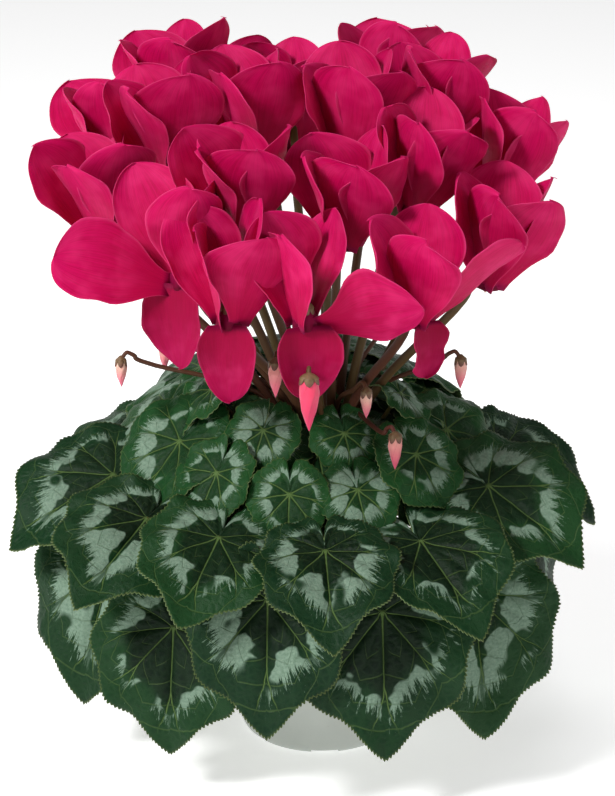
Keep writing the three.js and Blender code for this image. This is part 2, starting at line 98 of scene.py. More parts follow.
# x, y, z of each bloom's mouth and its lean; the front blooms also have the length of the petal
# that hangs over the stalk, as a share of a petal, and the angles by which the other four open
BLOOMS = [
    (-66, -88, 304, 8, (0.7, 12, 20, 26, 62)),
    (-40, -114, 290, 8, (0.64, 22, 14, 22, 12)),
    (0, -116, 290, 8, (0.66, 72, 24, 18, 14)),
    (60, -102, 287, 10, (0.46, 44, 20, 20, 16)),
    (-34, -62, 322, 8, None),
    (22, -62, 318, 8, None),
    (100, -52, 292, 12, None),
    (60, -34, 328, 10, None),
    (-108, -32, 310, 12, None),
    (-76, -14, 344, 8, None),
    (-30, -6, 350, 4, None),
    (22, -6, 348, 4, None),
    (106, 8, 322, 14, None),
    (68, 20, 348, 6, None),
    (-70, 38, 355, 8, None),
    (-8, 50, 341, 6, None),
    (46, 68, 350, 10, None),
    (-104, 62, 322, 16, None),
    (-46, 98, 330, 16, None),
    (12, 112, 324, 16, None),
]
# x, y, z of each bud's hook and the bud's length
BUDS = [
    (-104, -34, 246, 16), (-80, -20, 252, 17), (-16, -112, 272, 20), (2, -134, 271, 30),
    (34, -58, 236, 16), (50, -70, 214, 20), (88, -26, 244, 18), (60, 60, 246, 17),
    (-40, 74, 240, 18),
]

# ---- forms that are drawn finer than in the solids
# radius of a stalk at its root and at its tip
PETIOLE_RADII = (PETIOLE_RADIUS * 1.05, PETIOLE_RADIUS * 0.72)
SMALL_PETIOLE_RADII = (PETIOLE_RADIUS * 0.95, PETIOLE_RADIUS * 0.7)
SCAPE_RADII = (SCAPE_RADIUS * 1.4, SCAPE_RADIUS * 0.85)
BUD_STALK_RADII = (BUD_STALK_RADIUS * 1.1, BUD_STALK_RADIUS * 0.85)
SMALL_PETIOLE_SIDES, SMALL_PETIOLE_TINT = 10, 0.2
PETIOLE_POINTS = 26
POINTS_PER_SPAN = 9  # of a flower stalk's or bud stalk's path
CALYX = dict(radius=4.6, height=3.4, reach=5.0)
BUD_CALYX = dict(height=2.8, reach=4.0)
BUD_SEAT_HEIGHT = -4.6  # of a bud's calyx, from the end of its hook

GROOVE_DEPTH, GROOVE_WIDTH = 1.0, 2.2  # along the veins
PUFF, CREASE, WARP, ROUGH = 1.7, 4.5, 2.4, 0.5  # between veins, down the middle, wide and fine
FRILLS = ((1.3, 7, 3), (0.8, 13, 2))  # height, waves round the leaf, and how far they shift
VEIN_SPREAD = math.radians(42)  # angle between two main veins where they leave the petiole
FORK_SHARE, FORK_RATE = 0.5, 0.42  # where the main veins fork, and how fast the forks part
TOOTH = (0.0, 0.8, 1.0, 0.5)  # heights along one tooth of the margin, as shares of its height
TOOTH_HEIGHT = 1.25  # on a leaf of TOOTH_LENGTH
TOOTH_LENGTH = 72
RING_SHARES = (0.06, 0.14, 0.24, 0.34, 0.44, 0.54, 0.63, 0.71, 0.79, 0.86, 0.92, 0.965)
SMALL_LEAF_TEETH = 44

PETAL_COLUMNS, PETAL_ROWS = 19, 25
PETAL_TURNS = (-12, 55, 122, -146, -79)  # degrees round the mouth, from the side facing outwards
TURNS_ROUND_HANGING = (10, 74, 148, -112, -36)  # the same where the first petal hangs
OPENING = 19  # degrees by which a petal leans out where BLOOMS gives no angles
HANG_TURN = 168  # degrees by which a hanging petal folds down from upright
HANG_ROOT = 2.5  # how deep a hanging petal is rooted in the tube
EDGE_WAVE, EDGE_RIPPLE, PLEAT, MIDRIB = 2.6, 0.5, 0.35, 1.4  # heights of the petal's folds

# radius and height along the tube, and along the tip of the style in its mouth
COROLLA_PROFILE = [(0, 2.2), (1.4, 2.0), (2.8, 1.0), (3.8, -0.4), (4.8, -1.1), (5.9, -1.3),
                   (6.8, -0.8), (7.1, 0.4), (6.9, 2.2), (6.4, 4.4), (5.8, 6.4), (4.9, 8.2),
                   (3.6, 9.6), (1.8, 10.4), (0, 10.6)]
STYLE_PROFILE = [(0, -4.6), (0.5, -4.3), (0.6, -3.4), (0.45, -1.0), (0.6, 1.6), (0, 2.0)]


# ---- small helpers
def draw(i, k):
    """A repeatable draw from -1 to 1 for piece i and quantity k."""
    s = math.sin(i * 12.9898 + k * 78.233) * 43758.5453
    return 2 * (s - math.floor(s)) - 1


def vec(x, y, z):
    return np.array([x, y, z], float)


def turned(v, axis, angle):
    c, s = math.cos(angle), math.sin(angle)
    return v * c + np.cross(axis, v) * s + axis * np.dot(axis, v) * (1 - c)


def smoothstep(x, low=0.0, high=1.0):
    t = np.clip((x - low) / (high - low), 0, 1)
    return t * t * (3 - 2 * t)


def ripple(x, y, seed):
    """A smooth bumpy field from -1 to 1 over x and y in millimetres."""
    total = 0.0
    for k in range(1, 6):
        angle = 2.4 * k + seed
        pitch = 4.0 + 3.1 * k
        way = x * math.cos(angle) + y * math.sin(angle)
        total = total + np.sin(way * 6.28 / pitch + seed * k)
    return total / 5


def shade_smooth(mesh):
    mesh.polygons.foreach_set("use_smooth", [True] * len(mesh.polygons))


def store(mesh, name, values):
    mesh.attributes.new(name, "FLOAT", "POINT").data.foreach_set("value", values)


def add_object(name, data):
    obj = bpy.data.objects.new(name, data)
    bpy.context.scene.collection.objects.link(obj)
    return obj


def piece_of(name, mesh, materials, slot, *nodes):
    """A finished piece of the plant that stands for the named nodes."""
    for material in materials:
        mesh.materials.append(material)
    obj = add_object(name, mesh)
    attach(obj, "root")
    if nodes:
        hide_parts(*nodes)


def grid_faces(rows, columns):
    """Faces of a sheet whose points are stored row by row."""
    return [(r * columns + c, r * columns + c + 1, (r + 1) * columns + c + 1, (r + 1) * columns + c)
            for r in range(rows - 1) for c in range(columns - 1)]


class Shell:
    """Points, faces, corner coordinates and point values gathered into one mesh."""

    def __init__(self):
        self.points, self.faces, self.slots = [], [], []
        self.maps, self.values = {}, {}
        self.count = 0

    def add(self, points, faces, slots=0, maps=None, values=None):
        start = self.count
        self.points.append(np.asarray(points, float))
        self.count += len(points)
        self.faces += [tuple(start + i for i in f) for f in faces]
        self.slots += [slots] * len(faces) if isinstance(slots, int) else slots
        for name, per_point in (maps or {}).items():
            self.maps.setdefault(name, []).append(np.asarray(per_point, float))
        for name, per_point in (values or {}).items():
            spread = np.broadcast_to(per_point, len(points)).astype(float)
            self.values.setdefault(name, []).append(spread)

    def add_sheet(self, matrix, points, faces, thickness, maps, values):
        """Both sides of a thin sheet; an array of values has one for each of its points."""
        both, faces, _ = two_sided(points, faces, thickness)
        self.add(placed(matrix, both), faces, 0, {k: np.tile(m, (2, 1)) for k, m in maps.items()},
                 {k: np.tile(v, 2) if np.ndim(v) else v for k, v in values.items()})

    def mesh(self, name):
        points = np.concatenate(self.points) * MM
        mesh = bpy.data.meshes.new(name)
        mesh.from_pydata(points.tolist(), [], self.faces)
        mesh.polygons.foreach_set("material_index", self.slots)
        corner = np.empty(len(mesh.loops), int)
        mesh.loops.foreach_get("vertex_index", corner)
        for key, stacks in self.maps.items():
            layer = mesh.uv_layers.new(name=key)
            layer.data.foreach_set("uv", np.concatenate(stacks)[corner].ravel())
        for key, stacks in self.values.items():
            store(mesh, key, np.concatenate(stacks))
        shade_smooth(mesh)
        mesh.update()
        mesh.validate()
        return mesh


def two_sided(points, faces, thickness):
    """Both faces of a thin sheet and the rim that joins them."""
    normals = np.zeros_like(points)
    for f in faces:
        a, b, c = points[f[0]], points[f[1]], points[f[-1]]
        n = np.cross(b - a, c - a)
        for i in f:
            normals[i] += n
    normals /= np.linalg.norm(normals, axis=1)[:, None] + 1e-12
    offset = normals * (np.broadcast_to(thickness, len(points))[:, None] / 2)
    n = len(points)
    edges = {(f[k], f[(k + 1) % len(f)]) for f in faces for k in range(len(f))}
    rim = [(a, n + a, n + b, b) for a, b in sorted(edges) if (b, a) not in edges]
    under = [tuple(n + i for i in reversed(f)) for f in faces]
    return np.concatenate([points + offset, points - offset]), list(faces) + under + rim, len(faces)


# ---- leaves
def outline(angle, leaf):
    """The margin's distance from the petiole as a share of the length; angle 0 is the tip."""
    a = np.abs(angle)
    heart = 0.42 + 0.35 * ((1 + np.cos(a)) / 2) ** 1.1 + 0.23 * np.exp(-a / 0.35)
    rounded = 0.93 + 0.07 * np.cos(a)
    lobes = 1 + (0.02 + 0.025 * leaf.point) * np.cos(9 * a)
    body = (rounded + (heart - rounded) * leaf.point) * lobes
    behind = np.clip((a - (math.pi - leaf.sinus)) / leaf.sinus, 0, 1)
    return body + (0.1 - body) * behind ** 2.0


def relief(x, y, angle, share, leaf):
    """Height of the blade as the solids have it: drooping, folded and waved."""
    droop = -(y * y) / (2 * leaf.bend) - (x * x) / (2 * leaf.bend * 1.3)
    fold = leaf.fold * np.sqrt(x * x + 4)
    wave = leaf.wave * share**3 * np.sin(leaf.waves * angle + leaf.phase)
    return droop + fold + wave


def leaf_frame(leaf):
    """Where the petiole meets the blade, and the blade's directions: tip, up and side."""
    aim = math.radians(leaf.heading + leaf.swing)
    droop = math.radians(leaf.droop)
    tip = vec(math.cos(aim) * math.cos(droop), math.sin(aim) * math.cos(droop), -math.sin(droop))
    up = vec(math.cos(aim) * math.sin(droop), math.sin(aim) * math.sin(droop), math.cos(droop))
    up = turned(up, tip, math.radians(leaf.roll))
    heading = math.radians(leaf.heading)
    reach = leaf.reach
    top = vec(SWAY + reach * math.cos(heading), reach * math.sin(heading), leaf.height)
    return top, tip, up, np.cross(tip, up)


def leaves_of(tier):
    """The leaves of one tier, each set off from the rule by draws of its own."""
    leaves = []
    for k in range(tier.count):
        i = tier.seed + k
        name = f"leaf_{tier.name}_{k + 1:02d}"
        heading = tier.heading + tier.step * k + 3 * draw(i, 1)
        behind = math.sin(math.radians(heading))
        leaves.append(Named(
            name=name, heading=heading, seed=i,
            reach=tier.reach + 4 * draw(i, 2),
            height=tier.height + tier.tilt * tier.reach * behind + 5 * draw(i, 3)
            - SAG.get(name, 0),
            length=tier.length * (1 + tier.grow * behind + 0.1 * draw(i, 4)),
            droop=tier.droop - tier.nod * behind + 7 * draw(i, 5),
            swing=9 * draw(i, 6) - tier.turn * math.cos(math.radians(heading)),
            roll=tier.roll * math.cos(math.radians(heading)) + 6 * draw(i, 7),
            point=min(1, max(0, tier.point + 0.15 * draw(i, 8))),
            sinus=math.radians(9 + 8 * tier.point),
            bend=tier.bend * (1 + 0.2 * draw(i, 9)), fold=0.07 + 0.08 * draw(i, 10),
            wave=(1.6 + 0.8 * draw(i, 11)) * (0.6 + tier.point), waves=3 + (i % 3),
            phase=3 * draw(i, 12),
            root_radius=tier.root_radius, root_height=getattr(tier, "root_height", CROWN_HEIGHT),
            rise=tier.rise, approach=tier.approach))
    return leaves


def vein_offset(angle, share):
    """How far a point lies from a main vein or its forks: 0 on a vein, about 0.5 midway."""
    f = angle * (1 + 0.1 * share) / VEIN_SPREAD
    between = np.abs(f - np.round(f))
    return np.abs(between - FORK_RATE * np.maximum(0, share - FORK_SHARE))


def blade_grid(leaf, teeth):
    """Angle, share of the way to the margin and reach of each point, ring by ring."""
    steps = len(TOOTH)
    fine = np.linspace(-math.pi, math.pi, 4001)
    reach = outline(fine, leaf) * leaf.length
    px, py = reach * np.sin(fine), reach * np.cos(fine)
    run = np.concatenate([[0], np.cumsum(np.hypot(np.diff(px), np.diff(py)))])
    angles = np.interp(np.linspace(0, run[-1], teeth * steps, endpoint=False), run, fine)
    spokes = angles[::steps]
    rings = [([0.0], [0.0], [0.0])]
    for share in RING_SHARES:
        reach = share * outline(spokes, leaf) * leaf.length
        rings.append((spokes, np.full(teeth, share), reach))
    edge = outline(angles, leaf) * leaf.length
    height = TOOTH_HEIGHT * (leaf.length / TOOTH_LENGTH) ** 0.5
    size = np.array([1 + 0.35 * draw(leaf.seed * 7 + t, 20) for t in range(teeth)])
    deep = smoothstep(edge / leaf.length, 0.15, 0.35)
    edge = edge + height * np.tile(TOOTH, teeth) * np.repeat(size, steps) * deep
    rings.append((angles, np.ones(teeth * steps), edge))
    return [np.concatenate(column) for column in zip(*rings)]


def blade_faces(teeth):
    """A fan in the middle, rings of four-sided faces, and the teeth along the margin."""
    steps, rings = len(TOOTH), len(RING_SHARES)
    faces = [(0, 1 + (j + 1) % teeth, 1 + j) for j in range(teeth)]
    for r in range(rings - 1):
        a, b = 1 + r * teeth, 1 + (r + 1) * teeth
        faces += [(a + j, a + (j + 1) % teeth, b + (j + 1) % teeth, b + j) for j in range(teeth)]
    inner, outer = 1 + (rings - 1) * teeth, 1 + rings * teeth
    for j in range(teeth):
        rim = [outer + (j * steps + s) % (teeth * steps) for s in range(steps + 1)]
        here, there = inner + j, inner + (j + 1) % teeth
        faces += [(here, rim[1], rim[0]), (here, rim[2], rim[1]), (here, there, rim[2])]
        faces += [(there, rim[3], rim[2]), (there, rim[4], rim[3])]
    return faces


def blade_height(x, y, angle, share, reach, leaf):
    """Height of the middle surface: the solids' own form with grooves, puffs and creases."""
    along = y / leaf.length
    between = vein_offset(angle, share)
    gap = between * VEIN_SPREAD * reach
    groove = -GROOVE_DEPTH * np.exp(-((gap / GROOVE_WIDTH) ** 2))
    groove = groove * smoothstep(share, 0.02, 0.12) * (1 - 0.6 * share)
    puff = PUFF * np.sin(math.pi * np.minimum(1, 2 * between))
    puff = puff * smoothstep(share, 0.1, 0.5) * (1 - share)
    crease = CREASE * leaf.point * np.tanh(0.05 * np.abs(x)) * smoothstep(along, -0.1, 0.3)
    warp = WARP * ripple(0.3 * x, 0.3 * y, leaf.seed + 1) * smoothstep(share, 0.2, 0.8)
    rough = ROUGH * ripple(x, y, leaf.seed) * smoothstep(share, 0.1, 0.4)
    frill = share**3 * sum(height * np.sin(waves * angle + shift * leaf.phase)
                           for height, waves, shift in FRILLS)
    return relief(x, y, angle, share, leaf) + groove + puff + rough + frill + crease + warp


def add_blade(shell, leaf, teeth):
    angle, share, reach = blade_grid(leaf, teeth)
    x, y = reach * np.sin(angle), reach * np.cos(angle)
    z = blade_height(x, y, angle, share, reach, leaf)
    top, tip, up, side = leaf_frame(leaf)
    points = top + x[:, None] * side + y[:, None] * tip + z[:, None] * up
    thickness = BLADE_THICKNESS * (0.9 - 0.45 * smoothstep(share, 0.7, 1.0))
    both, faces, top_count = two_sided(points, blade_faces(teeth), thickness)
    slots = [0] * top_count + [1] * (len(faces) - top_count)
    polar = np.stack([angle / (2 * math.pi) + 0.5, share], 1)
    flat = np.stack([x, y], 1) / 100 + 0.5
    shell.add(both, faces, slots,
              {"polar": np.tile(polar, (2, 1)), "flat": np.tile(flat, (2, 1))},
              {"leaf_seed": (leaf.seed * 0.618) % 1, "leaf_age": leaf.point,
               "leaf_size": leaf.length / 100})


# ---- stalks
def bezier(a, b, c, d, count):
    t = np.linspace(0, 1, count)[:, None]
    return (1 - t) ** 3 * a + 3 * (1 - t) ** 2 * t * b + 3 * (1 - t) * t**2 * c + t**3 * d


def petiole_path(leaf):
    top, _, up, _ = leaf_frame(leaf)
    heading = math.radians(leaf.heading)
    out = vec(math.cos(heading), math.sin(heading), 0)
    root = out * leaf.root_radius + UP * leaf.root_height
    end = top - up * (BLADE_THICKNESS / 2 + 0.1)
    before = end - out * 0.28 * leaf.reach + UP * leaf.approach
    return bezier(root, root + UP * leaf.rise, before, end, PETIOLE_POINTS)


def smooth_path(points):
    """A flowing curve through the points, spaced by the roots of the chords."""
    points = np.asarray(points, float)
    chords = np.sqrt(np.linalg.norm(np.diff(points, axis=0), axis=1))
    knots = np.concatenate([[0], np.cumsum(chords)])
    slopes = np.empty_like(points)
    slopes[1:-1] = (points[2:] - points[:-2]) / (knots[2:] - knots[:-2])[:, None]
    slopes[0] = (points[1] - points[0]) / chords[0]
    slopes[-1] = (points[-1] - points[-2]) / chords[-1]
    path = []
    for k, span in enumerate(chords):
        last = k == len(chords) - 1
        t = np.linspace(0, 1, POINTS_PER_SPAN + last, endpoint=last)[:, None]
        path.append((2 * t**3 - 3 * t**2 + 1) * points[k] + (t**3 - 2 * t**2 + t) * span * slopes[k]
                    + (3 * t**2 - 2 * t**3) * points[k + 1] + (t**3 - t**2) * span * slopes[k + 1])
    return np.concatenate(path)


def hook_frame(x, y, z, lean=0.0):
    """Where a bloom or bud hangs: turned to face outwards, leaning by some degrees."""
    turn = Matrix.Rotation(math.atan2(y, x), 4, "Z") @ Matrix.Rotation(math.radians(lean), 4, "Y")
    return np.array(Matrix.Translation((SWAY + x, y, z)) @ turn)


def raised(height):
    return np.array(Matrix.Translation((0, 0, height)))


def placed(matrix, points):
    points = np.atleast_2d(points)
    return points @ matrix[:3, :3].T + matrix[:3, 3]


def scape_path(x, y, matrix, behind, rise, drop, end):
    """From the tuber through a bundled neck to the hook over a bloom or bud."""
    root = vec(0.1 * x, 0.1 * y, CROWN_HEIGHT)
    neck = vec(0.24 * x, 0.24 * y, NECK_HEIGHT)
    steep = drop / 14
    hook = [(-behind - 8 + 4 * steep, 0, -6 * steep), (-behind, 0, 0.35 * (rise - 7)),
            (-0.75 * behind, 0, 0.8 * rise - 1), (-0.4 * behind, 0, rise), (0, 0, end)]
    return smooth_path([root, neck, *placed(matrix, hook)])


# ---- blooms and buds
def petal_width(q, hang):
    """Width at share q of the way along, as a share of the widest."""
    if hang:
        wide = 0.62 + 0.33 * np.sin(math.pi * np.minimum(q, 0.25) / 0.5)
        narrow = 0.95 * (1 - np.clip((q - 0.25) / 0.75, 0, 1) ** 2.2) ** 0.56
        return np.where(q < 0.25, wide, narrow)
    wide = 0.24 + 0.76 * smoothstep(q, 0, 0.65)
    return np.where(q < 0.65, wide, (1 - np.clip((q - 0.65) / 0.35, 0, 1) ** 2.1) ** 0.6)


def petal_points(u, q, shape):
    """The middle surface of a petal for shares u across and q along."""
    s = q * shape.length - (HANG_ROOT if shape.hang else 0)
    flare, twist = math.radians(shape.flare), np.radians(shape.twist) * np.ones_like(q)
    curl = shape.curl * s * s / shape.length
    out = PETAL.foot + s * math.sin(flare) + curl * math.cos(flare)
    rise = s * math.cos(flare) - curl * math.sin(flare)
    half = shape.width / 2
    w = u * petal_width(q, shape.hang) * half
    bow = -shape.cup * w * w / half + w * np.sin(twist)
    across = w * np.cos(twist)
    seed = shape.seed
    edge = np.abs(u) ** 3 * smoothstep(q, 0.15, 0.5)
    bow = bow + EDGE_WAVE * edge * np.sin(7.5 * q + 2.1 * seed + 1.5 * np.sign(u))
    bow = bow + EDGE_RIPPLE * edge * np.sin(23 * q + seed)
    bow = bow + PLEAT * np.cos(u * 14) * smoothstep(q, 0.04, 0.3) * (1 - 0.7 * q)
    bow = bow - MIDRIB * np.exp(-((u / 0.12) ** 2)) * (1 - q) * smoothstep(q, 0.02, 0.12)
    x = out + bow * math.cos(flare)
    z = rise - bow * math.sin(flare)
    turn = math.radians(shape.turn)
    return np.stack([x * math.cos(turn) - across * math.sin(turn),
                     x * math.sin(turn) + across * math.cos(turn), z], -1)


def petal_shapes(i, opened):
    """The five petals of bloom i; opened is what BLOOMS says of its petals."""
    shapes = []
    for k in range(5):
        seed = 100 + 7 * i + k
        hang = opened is not None and k == 0
        spread = OPENING if opened is None else opened[k]
        turns = PETAL_TURNS if opened is None else TURNS_ROUND_HANGING
        length, width = (opened[0], 0.3 + 0.65 * opened[0]) if hang else (1, 1)
        shapes.append(Named(
            seed=seed, hang=hang, turn=turns[k] + 2 * draw(seed, 1),
            flare=HANG_TURN if hang else spread + 2 * draw(seed, 2),
            curl=0.06 if hang else 0.02 + 0.04 * draw(seed, 3),
            twist=0 if hang else 17 + 0.75 * spread + 3 * draw(seed, 4),
            cup=0.5 if hang else 0.24 + 0.06 * draw(seed, 5),
            length=length * PETAL.length * (1 + 0.07 * draw(seed, 6)),
            width=width * PETAL.width * (1 + 0.07 * draw(seed, 7))))
    return shapes


def add_petal(shell, matrix, shape):
    u = np.sin(np.linspace(-1, 1, PETAL_COLUMNS) * math.pi / 2)
    q = np.sin(np.linspace(0, 1, PETAL_ROWS) * math.pi / 2) ** 0.9
    q[0] = 0.0
    grid_q, grid_u = np.meshgrid(q, u, indexing="ij")
    points = petal_points(grid_u, grid_q, shape).reshape(-1, 3)
    share = grid_q.ravel()
    thickness = PETAL.thickness * (1.3 - 0.8 * share)
    # a hanging petal takes part of the tube's dark colour as painted shade, for the shadow the
    # petals above cast on it
    shell.add_sheet(matrix, points, grid_faces(PETAL_ROWS, PETAL_COLUMNS), thickness,
                    {"petal": np.stack([grid_u.ravel() / 2 + 0.5, share], 1)},
                    {"petal_seed": (shape.seed * 0.618) % 1, "tube": 0.45 if shape.hang else 0.0})


def lathe(profile, segments, swell=None):
    """Points and faces of a turned form; swell scales the radius by angle and share of the way."""
    rows = len(profile)
    angle = np.linspace(0, 2 * math.pi, segments, endpoint=False)
    points, starts = [], []
    for k, (r, z) in enumerate(profile):
        starts.append(len(points))
        if r < 1e-6:
            points.append((0, 0, z))
            continue
        size = r * (swell(angle, k / (rows - 1)) if swell else 1) * np.ones(segments)
        points += list(zip(size * np.cos(angle), size * np.sin(angle), np.full(segments, float(z))))
    faces = []
    for k in range(rows - 1):
        a, b = starts[k], starts[k + 1]
        a_pole, b_pole = profile[k][0] < 1e-6, profile[k + 1][0] < 1e-6
        for j in range(segments):
            m = (j + 1) % segments
            if a_pole:
                faces.append((a, b + m, b + j))
            elif b_pole:
                faces.append((a + j, a + m, b))
            else:
                faces.append((a + j, a + m, b + m, b + j))
    return np.array(points, float), faces


def add_corolla(shell, matrix):
    """The short tube and its thick dark rim, folded five times, with the tip of the style."""
    def folded(angle, share):
        return 1 + 0.07 * np.cos(5 * (angle - math.radians(10))) * math.sin(math.pi * share)

    points, faces = lathe(COROLLA_PROFILE[::-1], 50, folded)
    rim = smoothstep(points[:, 2], 6.0, 0.0)
    shell.add(placed(matrix, points), [f[::-1] for f in faces], 0,
              {"petal": np.tile([0.5, 0.02], (len(points), 1))},
              {"petal_seed": 0.5, "tube": 0.3 + 0.7 * rim})
    points, faces = lathe(STYLE_PROFILE, 10)
    shell.add(placed(matrix, points), faces, 1,
              {"petal": np.tile([0.5, 0.5], (len(points), 1))}, {"petal_seed": 0.5, "tube": 0.0})


def add_calyx(shell, matrix, radius, height, reach):
    """A small cup with five pointed sepals pressed back against the tube."""
    def star(angle, share):
        return 1 + 0.16 * np.cos(5 * angle) * (1 - share)

    profile = [(0, 0), (radius * 0.85, 0.0), (radius, 0.6), (radius * 0.8, height * 0.55),
               (radius * 0.5, height * 0.85), (radius * 0.3, height * 1.1), (0, height * 1.2)]
    points, faces = lathe(profile, 30, star)
    shell.add(placed(matrix, points), faces, 0, None, {"sepal": 0.2})
    rows, columns = 8, 7
    grid_q, grid_u = np.meshgrid(np.linspace(0, 1, rows), np.linspace(-1, 1, columns),
                                 indexing="ij")
    for k in range(5):
        turn = math.radians(72 * k)
        width = radius * 0.62 * (1 - grid_q) ** 0.7 * (1 + 0.6 * grid_q)
        angle = turn + grid_u * width / radius
        r = radius * (0.86 + 0.2 * grid_q) + 0.25 * (1 - grid_u**2)
        z = height * 0.35 - reach * grid_q
        blade = np.stack([r * np.cos(angle), r * np.sin(angle), z], -1).reshape(-1, 3)
        shell.add_sheet(matrix, blade, grid_faces(rows, columns), 0.5, {},
                        {"sepal": grid_q.ravel()})


def bud_width(length):
    return 0.16 * length + 1


def add_bud(shell, matrix, length):
    """Five petals rolled round one another into a twisted spindle that points down."""
    s = np.linspace(0, 1, 30)
    shares, widths = zip((0, 0.62), (0.06, 0.84), (0.3, 1), (0.62, 0.72), (0.85, 0.34), (1, 0.04))
    radius = bud_width(length) * np.interp(s, shares, widths)
    side = [(r, -4.0 - length * t) for r, t in zip(radius, s)]
    profile = [(0, -3.0), *side, (0, -4.3 - length)]

    def rolled(angle, share):
        fold = (angle * 5 / (2 * math.pi) + 1.4 * share) % 1
        return 0.9 + 0.14 * fold**1.5 - 0.1 * np.exp(-((fold - 1) / 0.12) ** 2)

    points, faces = lathe(profile, 40, rolled)
    share = np.clip((-4.0 - points[:, 2]) / length, 0, 1)
    angle = np.arctan2(points[:, 1], points[:, 0])
    uv = np.stack([(angle * 5 / (2 * math.pi) + 1.4 * share) % 1, share], 1)
    shell.add(placed(matrix, points), [f[::-1] for f in faces], 0, {"petal": uv},
              {"bud_share": share, "bud_age": np.clip((length - 14) / 16, 0, 1)})


# ---- node tools
class Wire:
    """A node's output, with the sums that can be done on it; each sum adds one node."""

    def __init__(self, graph, socket):
        self.graph, self.socket = graph, socket

    def __add__(self, other):
        return self.graph.math("ADD", self, other)

    def __sub__(self, other):
        return self.graph.math("SUBTRACT", self, other)

    def __rsub__(self, other):
        return self.graph.math("SUBTRACT", other, self)

    def __mul__(self, other):
        return self.graph.math("MULTIPLY", self, other)

    def __truediv__(self, other):
        return self.graph.math("DIVIDE", self, other)

    def __pow__(self, other):
        return self.graph.math("POWER", self, other)

    def __abs__(self):
        return self.graph.math("ABSOLUTE", self)

    def scaled(self, factor, offset):
        return self.graph.math("MULTIPLY_ADD", self, factor, offset)

    def from_whole(self):
        """How far the value lies from the nearest whole number."""
        return abs(self - self.graph.math("ROUND", self))


class Graph:
    """Short calls for adding and wiring nodes in one tree."""

    def __init__(self, tree):
        self.tree = tree

    def feed(self, node, key, value):
        """Links or sets an input, given by its label or by i and its number."""
        numbered = key[0] == "i" and key[1:].isdigit()
        socket = node.inputs[int(key[1:]) if numbered else key.replace("_", " ")]
        if isinstance(value, Wire):
            self.tree.links.new(value.socket, socket)
        else:
            socket.default_value = value

    def node(self, kind, settings=None, **inputs):
        node = self.tree.nodes.new(kind)
        for key, value in (settings or {}).items():
            setattr(node, key, value)
        for key, value in inputs.items():
            self.feed(node, key, value)
        return node

    def wire(self, kind, settings=None, output=0, **inputs):
        return Wire(self, self.node(kind, settings, **inputs).outputs[output])

    def math(self, operation, a, b=0.0, c=0.0):
        return self.wire("ShaderNodeMath", {"operation": operation}, i0=a, i1=b, i2=c)

    def step(self, value, low, high):
        """Goes smoothly from 0 where the value is low to 1 where it is high."""
        settings = {"interpolation_type": "SMOOTHSTEP"}
        return self.wire("ShaderNodeMapRange", settings, i0=value, i1=low, i2=high)

    def fade(self, value, low, high):
        return 1.0 - self.step(value, low, high)

    def mix(self, factor, a, b):
        """From colour a to colour b; a triple is on the 0 to 255 screen scale."""
        a, b = (rgb(*c) if isinstance(c, tuple) else c for c in (a, b))
        return self.wire("ShaderNodeMix", {"data_type": "RGBA"}, 2, i0=factor, i6=a, i7=b)

    def noise(self, vector, scale, detail=3.0, roughness=0.5):
        return self.wire("ShaderNodeTexNoise", Vector=vector, Scale=scale, Detail=detail,
                         Roughness=roughness)

    def cells(self, vector, scale):
        """Distance to the border between cells."""
        settings = {"feature": "DISTANCE_TO_EDGE"}
        return self.wire("ShaderNodeTexVoronoi", settings, Vector=vector, Scale=scale)

    def parts(self, vector):
        node = self.node("ShaderNodeSeparateXYZ", Vector=vector)
        return [Wire(self, socket) for socket in node.outputs]

    def combine(self, x, y):
        return self.wire("ShaderNodeCombineXYZ", X=x, Y=y)

    def place(self, space="Object"):
        return self.wire("ShaderNodeTexCoord", None, space)

    def uv(self, name):
        return self.wire("ShaderNodeUVMap", {"uv_map": name})

    def attribute(self, name):
        return self.wire("ShaderNodeAttribute", {"attribute_name": name}, "Fac")

    def stored(self, name):
        """A point value of the mesh that a geometry tree works on."""
        return self.wire("GeometryNodeInputNamedAttribute", {"data_type": "FLOAT"}, Name=name)


class Surface(Graph):
    """A new material; its constants are set on the shader's own sockets."""

    def __init__(self, name, roughness, **constants):
        self.material = bpy.data.materials.new(name)
        self.material.use_nodes = True
        super().__init__(self.material.node_tree)
        self.shader = self.tree.nodes["Principled BSDF"]
        for key, value in {"Roughness": roughness, **constants}.items():
            self.feed(self.shader, key, value)

    def paint(self, colour):
        self.colour = colour
        self.feed(self.shader, "Base Color", colour)

    def stain(self, mask, colour):
        """Lays a colour over what is painted so far, as far as the mask goes."""
        self.paint(self.mix(mask, self.colour, colour))

    def bump(self, height, strength, distance):
        self.feed(self.shader, "Normal", self.wire("ShaderNodeBump", Strength=strength,
                                                   Distance=distance, Height=height))


def tree_group(name, kind, inputs, outputs):
    """A node group with named inputs and outputs: its graph, input wires and output node."""
    g = Graph(bpy.data.node_groups.new(name, kind))
    for label, sort, *default in inputs:
        socket = g.tree.interface.new_socket(label, in_out="INPUT", socket_type="NodeSocket" + sort)
        if default:
            socket.default_value = default[0]
    for label, sort in outputs:
        g.tree.interface.new_socket(label, in_out="OUTPUT", socket_type="NodeSocket" + sort)
    source = g.node("NodeGroupInput")
    return g, [Wire(g, source.outputs[label]) for label, *_ in inputs], g.node("NodeGroupOutput")


def rgb(*screen):
    """A colour given on the 0 to 255 screen scale, turned into linear light."""
    shares = [c / 255 for c in screen]
    return (*[c / 12.92 if c <= 10 / 255 else ((c + 0.055) / 1.055) ** 2.4 for c in shares], 1.0)


